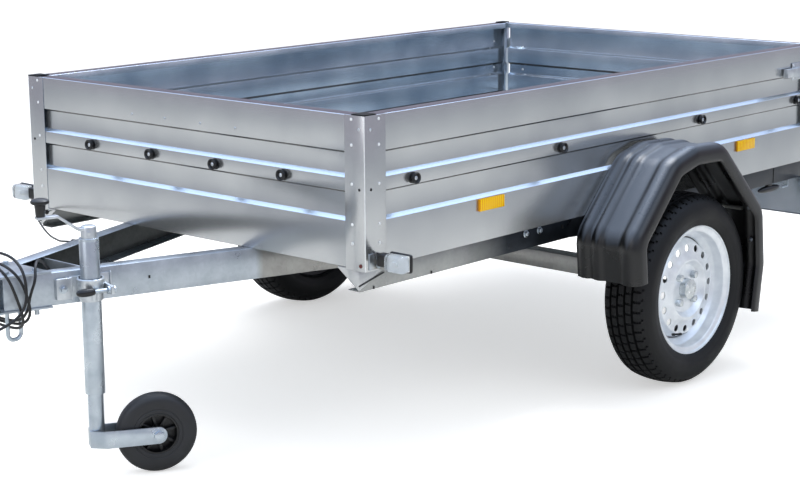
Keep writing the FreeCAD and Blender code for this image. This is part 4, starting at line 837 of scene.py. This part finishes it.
def front_lamps():
    # Clear lens that faces forward in a black housing, on a rubber arm with a steel foot
    windows = at_each(lambda: slab(1151, 1184, 696, 758.5, 518, 561, 11.0, 6), BOTH_SIDES)
    bolts = [flip @ facing(place(1153, 656, z), AHEAD) for flip in BOTH_SIDES for z in (522, 541)]
    finished("lamp_housings", at_each(lamp_housing, BOTH_SIDES), FITTING_BLACK, "chassis",
             ["front_lamp_bases"])
    finished("lamp_windows", windows, CLEAR, "chassis", ["front_lamp_lenses"])
    finished("lamp_reflectors", at_each(lamp_reflector, BOTH_SIDES), PLATE)
    finished("lamp_feet", at_each(lamp_foot, BOTH_SIDES), FRAME)
    finished("lamp_bolts", at_each(lambda: hex_bolt(8.0, 3.5, 1.2), bolts), TUBE)


# Jockey wheel

# The stem's place, and how far it stands off the drawbar beam
BEAM_ANGLE = math.atan(DRAWBAR_SLOPE)
STEM = (1619, 148.19)
STEM_REACH = 37.0


def on_beam(along, outward, z):
    # Point given along the drawbar beam and out of it, from the jockey wheel's foot on the beam
    x = STEM[0] + along * math.cos(BEAM_ANGLE) + (outward - STEM_REACH) * math.sin(BEAM_ANGLE)
    y = STEM[1] - along * math.sin(BEAM_ANGLE) + (outward - STEM_REACH) * math.cos(BEAM_ANGLE)
    return place(x, y, z)


def clamp_handle():
    # Bolt through the clamp's lug, a round lever and an oval grip in front of the ring
    foot = on_beam(0, 0, 0)
    along, outward = on_beam(1, 0, 0) - foot, on_beam(0, 1, 0) - foot
    start = on_beam(-31.7, 79.5, 474)
    lever = gathered([bar(24, 10.0, 0, 6, 1.0), bar(20, 5.0, 0, 50, 0.6), bar(6, 9.0, -14, -8.6, 0.8)])
    finished("clamp_lever_rod", moved(lever, facing(start, along)), TUBE, "chassis", ["clamp_lever"])
    grip = lathe([(0, 0), (6.4, 0.3), (8, 2.2), (9.4, 10), (10.2, 22), (9.6, 33), (7.2, 41),
                  (3.8, 45), (0, 46)], 28)
    finished("clamp_lever_grip", moved(grip, facing(on_beam(6.0, 79.5, 474), along)), FITTING_BLACK)
    funnel = lathe([(24.4, 500), (31.5, 500), (33.5, 498), (33.5, 490), (31, 474), (28.5, 452),
                    (27.6, 445), (26, 444), (24.4, 444), (24.4, 500)], 48)
    finished("clamp_funnel", moved(funnel, Matrix.Translation(place(*STEM, 0))), PRESSING)
    keeper = from_axle(gathered([
        slab(38, 42, 1, 18, 446, 501, 1.0), slab(40, 78, 13, 17, 447, 500, 5.0, 4),
        slab(74, 78, 1, 16, 447, 496, 1.0), slab(-61, -40, 0.5, 4, 447, 500, 1.0),
        slab(-64, -60, 0.5, 8, 445, 502, 1.5, 3)]))
    moved(keeper, Matrix.Translation(foot) @ Matrix.Rotation(-BEAM_ANGLE, 4, "Z"))
    finished("clamp_keeper", keeper, PRESSING)
    finished("clamp_bolts", moved(hex_bolt(13.0, 7.0, 2.0), facing(on_beam(62, 17, 474), outward)), TUBE)


def crank_handle():
    # Tapered grip below a domed knob, on the crank's strap, and a pinned collar on the tube
    knob = lathe([(0, 0), (10.6, 0), (11.2, 1), (12.6, 20), (13.4, 29), (18, 30), (21.4, 32),
                  (22.4, 35), (21.6, 38.6), (18, 41.6), (11, 43.6), (0, 44.4)], 36)
    finished("crank_knob", moved(knob, Matrix.Translation(place(1730.9, 114.0, 660))), FITTING_BLACK,
             "jockey_stem", ["jockey_crank_grip"])
    top = Matrix.Translation(place(*STEM, 597))
    ring = lathe([(14, 0), (18.4, 0), (19, 0.8), (19, 24), (17.6, 28), (14, 30), (0, 30)], 36)
    pin = moved(bar(16, 5.0, 18, 21.5, 0.8), facing((0, 0, 0.014), (0.6, 0.8, 0)))
    collar = moved(gathered([ring, pin]), top)
    finished("crank_collar", collar, PRESSING, "jockey_stem")
    rim = lathe([(19, 0.6), (22.6, 0.4), (24, -0.8), (24.2, -3), (24.2, -6), (24, -6.2)], 40)
    finished("tube_top_ring", moved(rim, top), TUBE, "jockey_stem")


JOCKEY_HUB = (1494.45, 222.44, 100.0)
JOCKEY_OUT = (0.5120, 0.8590, 0.0)
SPOKES = 8
JOCKEY_TREAD = [
    (52, 24), (53.5, 25), (60, 25), (61, 24), (62.5, 24), (63.5, 25), (78, 24.6), (86, 23.6), (92, 21),
    (96.6, 16), (99.2, 9), (100, 0),
]


def jockey_wheel():
    # Solid rubber tyre with a moulded rim of eight spokes, on a bolt through the fork
    hub = facing(place(*JOCKEY_HUB), JOCKEY_OUT)
    tyre = lathe(both_faces(JOCKEY_TREAD), 72)
    finished("jockey_solid_tyre", moved(tyre, hub), SOLID_RUBBER, "jockey_wheel", ["jockey_tyre"])
    rim = [lathe(both_faces([(46, 22), (47, 24.6), (51, 24.6), (52, 23.6)]), 64),
           lathe(both_faces([(8.1, 29), (15.6, 29), (17, 27.6), (18.2, 8)]), 40)]
    for i in range(SPOKES):
        spoke = bmesh.new()
        bmesh.ops.create_cube(spoke, size=1.0, matrix=Matrix.Translation((0.0315, 0, 0))
                              @ Matrix.Diagonal((0.031, 0.0085, 0.03, 1.0)))
        round_edges(spoke, 1.6, 50.0, segments=3)
        rim.append(moved(spoke, Matrix.Rotation(math.radians(360 / SPOKES * i + 12), 4, "Z")))
    rim.append(lathe(both_faces([(17, 1.5), (47, 1.5)]), 48))
    rim = moved(gathered(rim), hub)
    finished("jockey_spoked_rim", rim, FITTING_BLACK, "jockey_wheel", ["jockey_rim"])
    nuts = at_each(lambda: gathered([bar(32, 17.0, 36.0, 38.0, 0.4), bar(6, 14.4, 38.0, 49.0, 1.4)]),
                   [hub, hub @ Matrix.Rotation(math.pi, 4, "X")])
    finished("jockey_nuts", nuts, TUBE, "jockey_fork")


# Cables

LAMP_WIRE_ROUTE = [
    (0.6719, -0.59, 0.5005), (0.6879, -0.59, 0.5003), (0.7048, -0.5838, 0.4995),
    (0.7217, -0.5697, 0.498), (0.7387, -0.5391, 0.4955), (0.7654, -0.49, 0.4915),
    (0.7934, -0.437, 0.4885), (0.8214, -0.383, 0.488), (0.8484, -0.33, 0.4905),
    (0.8749, -0.2773, 0.497), (0.8968, -0.238, 0.502), (0.8991, -0.2121, 0.505),
    (0.8922, -0.1912, 0.506),
]
LEAD_FIRST = [
    (1.0824, 0.036, 0.478), (1.0984, 0.036, 0.4785), (1.1164, 0.036, 0.484),
    (1.1324, 0.0365, 0.5), (1.1484, 0.0385, 0.521), (1.1694, 0.047, 0.538),
    (1.1944, 0.066, 0.545), (1.2184, 0.089, 0.537), (1.2314, 0.106, 0.509),
]
LEAD_LAST = [
    (1.2624, 0.112, 0.484), (1.2674, 0.112, 0.455), (1.2834, 0.106, 0.43),
    (1.3094, 0.098, 0.414), (1.3374, 0.09, 0.404), (1.3624, 0.084, 0.389),
    (1.3784, 0.08, 0.366), (1.3844, 0.079, 0.342), (1.3854, 0.079, 0.321),
]
# Loose turns round the drawbar's nose, in metres
TURN_POINTS = 12
TURN_STEPS = range(3, 39)
TOP_PLACES = [1.2234, 1.2854, 1.3174, 1.2624]
BOTTOM_PLACES = [1.2474, 1.2414, 1.2454]
SLANT_SHARES = [0.4, 0.36, 0.5]
NOSE_TIP_X = 1.4334
NOSE_START_X = 1.2834
NOSE_Z = 0.473
NOSE_HALF_HEIGHT = 0.045


def eased(share):
    # Share that starts and ends slowly
    share = min(share, 1.0)
    return share * share * (3 - 2 * share)


def rounded_share(share):
    # Sine or cosine that makes a circle squarer, as a loose turn round a square nose is
    return math.copysign(abs(share) ** 0.6, share)


def lead_turn_point(step):
    # Point of a loose turn round the nose: over the top, down the left, under and up the right
    turn = step // TURN_POINTS
    share = step % TURN_POINTS / TURN_POINTS
    x = TOP_PLACES[turn]
    if share < 0.5 and turn < len(BOTTOM_PLACES):
        x += (BOTTOM_PLACES[turn] - x) * eased(share / SLANT_SHARES[turn])
    elif turn < len(BOTTOM_PLACES):
        x = BOTTOM_PLACES[turn] + (TOP_PLACES[turn + 1] - BOTTOM_PLACES[turn]) * eased(2 * share - 1)
    angle = math.pi / 2 - 2 * math.pi * step / TURN_POINTS
    angle -= 0.09 * math.sin(4 * angle)
    out = 0.024 + 0.009 * step / TURN_POINTS
    half_width = DRAWBAR_SLOPE * (NOSE_TIP_X - min(x, NOSE_START_X)) + 0.004 + out
    return (x, half_width * rounded_share(math.cos(angle)),
            NOSE_Z + (NOSE_HALF_HEIGHT + out) * rounded_share(math.sin(angle)))


def cable(name, points, thickness):
    # Round cable whose line runs smoothly between the points
    curve = bpy.data.curves.new(name, "CURVE")
    curve.dimensions = "3D"
    curve.bevel_depth = thickness / 2
    curve.bevel_resolution = 4
    curve.resolution_u = 10
    curve.use_fill_caps = True
    spline = curve.splines.new("NURBS")
    spline.points.add(len(points) - 1)
    for point, spot in zip(spline.points, points):
        point.co = (*spot, 1.0)
    spline.order_u = 3
    spline.use_endpoint_u = True
    curve.materials.append(SHEATH)
    piece = bpy.data.objects.new(name, curve)
    scene.collection.objects.link(piece)
    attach(piece, "chassis")
    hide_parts(name.replace("_cable", ""))
    return piece


def cables():
    # The right front lamp's wire, and the lead to the towing vehicle
    wire = cable("lamp_wire_cable", LAMP_WIRE_ROUTE, 0.005)
    turns = [lead_turn_point(step) for step in TURN_STEPS]
    lead = cable("lead_tube_cable", LEAD_FIRST + turns + LEAD_LAST, 0.007)


# Floor and light

def pale_floor():
    # Painted studio floor: pale and dull, and lit a little to the camera alone, so that it stays white
    material, shader = new_material("pale_floor", {"Base Color": linear("#F8F6F2"), "Roughness": 0.9,
                                                   "Emission Color": linear("#FFFFFF")})
    rays = add(material, "LightPath").outputs
    seen = add(material, "Math", {0: rays["Is Camera Ray"], 1: 0.5}, operation="MULTIPLY")
    feed(material, shader, {"Emission Strength": seen.outputs[0]})
    bm = bmesh.new()
    bmesh.ops.create_grid(bm, x_segments=1, y_segments=1, size=40.0)
    mesh = bpy.data.meshes.new("floor")
    bm.to_mesh(mesh)
    bm.free()
    mesh.materials.append(material)
    floor = bpy.data.objects.new("floor", mesh)
    scene.collection.objects.link(floor)


def studio_sky():
    # White behind the object, bluish high up and lilac grey low down in what metal and glass show,
    # and an even pale grey light from all round
    world = bpy.data.worlds.new("studio")
    scene.world = world
    world.use_nodes = True
    rays = add(world, "LightPath").outputs
    seen = add(world, "Math", {0: rays["Is Camera Ray"], 1: rays["Is Glossy Ray"]}, operation="MAXIMUM")
    seen = add(world, "Math", {0: seen.outputs[0], 1: rays["Is Transmission Ray"]}, operation="MAXIMUM")
    way = add(world, "TexCoord")
    height = add(world, "SeparateXYZ", {0: way.outputs["Generated"]})
    sky = ramp(world, height.outputs["Z"], (0.5, 0.48, 0.57, 1.0), (1.15, 1.45, 2.0, 1.0), (0.33, 0.62))
    shown = add(world, "Mix",
                {0: rays["Is Camera Ray"], 6: sky, 7: (1.0, 1.0, 1.0, 1.0)}, data_type="RGBA")
    colour = add(world, "Mix",
                 {0: seen.outputs[0], 6: (0.6, 0.64, 0.7, 1.0), 7: shown.outputs[2]}, data_type="RGBA")
    feed(world, world.node_tree.nodes["Background"], {0: colour.outputs[2]})


# Name, place, size in metres, spread in degrees and power in watts
LAMPS = (
    ("key", (0.5, 5.5, 4.5), 4.0, 180.0, 40.0),
    ("fill", (6.0, -0.5, 3.0), 3.5, 180.0, 85.0),
    ("top", (-1.0, -1.0, 5.5), 5.0, 180.0, 150.0),
    ("bed", (-0.8, 0.0, 3.4), 1.6, 90.0, 16.0),
)
LIT_SPOT = Vector((0.0, 0.0, 0.5))


def studio_lamps():
    # Four soft lamps turned to the load box
    for name, spot, size, spread, power in LAMPS:
        light = bpy.data.lights.new(name, "AREA")
        light.size = size
        light.spread = math.radians(spread)
        light.energy = power
        lamp = bpy.data.objects.new(name, light)
        turn = (LIT_SPOT - Vector(spot)).to_track_quat("-Z", "Y").to_matrix().to_4x4()
        lamp.matrix_world = Matrix.Translation(spot) @ turn
        scene.collection.objects.link(lamp)


view_camera()
pale_floor()
studio_sky()
studio_lamps()
scene.view_settings.view_transform = "Standard"

# CAD nodes whose edges are rounded: their material, and the rounding's width in millimetres
ROUNDED = (
    (SHEET, 0.5, "front_posts rear_posts corner_gussets light_bar"),
    (CAP_NYLON, 0.8, "post_caps"),
    (FRAME, 1.2, "drawbar_left"),
    (FAR_BEAM, 1.2, "drawbar_right"),
    (FRAME, 1.0, "nose_plates axle_brackets"),
    (FRAME, 0.8, "drawbar_tie cross_members"),
    (FRAME, 2.0, "axle_tube swing_arms"),
    (FRAME, 0.0, "mudguard_stays"),
    (SILL, 0.8, "sill_left sill_right"),
    (PRESSING, 1.5, "coupling_head"),
    (PRESSING, 1.0, "coupling_handle side_latches jockey_clamp jockey_crank"),
    (PRESSING, 0.5, "frame_hinges tailgate_hinges tailgate_strikers"),
    (TUBE, 0.0, "nose_bail"),
    (TUBE, 0.5, "jockey_tube"),
    (TUBE, 0.8, "jockey_fork"),
    (HUB_ZINC, 1.0, "hub_left hub_right"),
    (PLY, 0.8, "floor_panel"),
    (AMBER, 1.5, "side_reflectors"),
    (PLATE, 0.3, "number_plate"),
    (FITTING_BLACK, 1.0, "wire_fittings lead_gland"),
)
for material, width, nodes in ROUNDED:
    for node in nodes.split():
        edged(node, material, width)
for node in ("front_panel", "side_panel_left", "side_panel_right", "tailgate_panel"):
    folded_sheet(node)
plug = edged("lead_plug", FITTING_BLACK, 2.0)
cables()
road_wheels()
mudguards()
wall_fastenings()
buttons()
post_edges()
rear_lights()
fittings()
sill_details()
front_lamps()
clamp_handle()
crank_handle()
jockey_wheel()
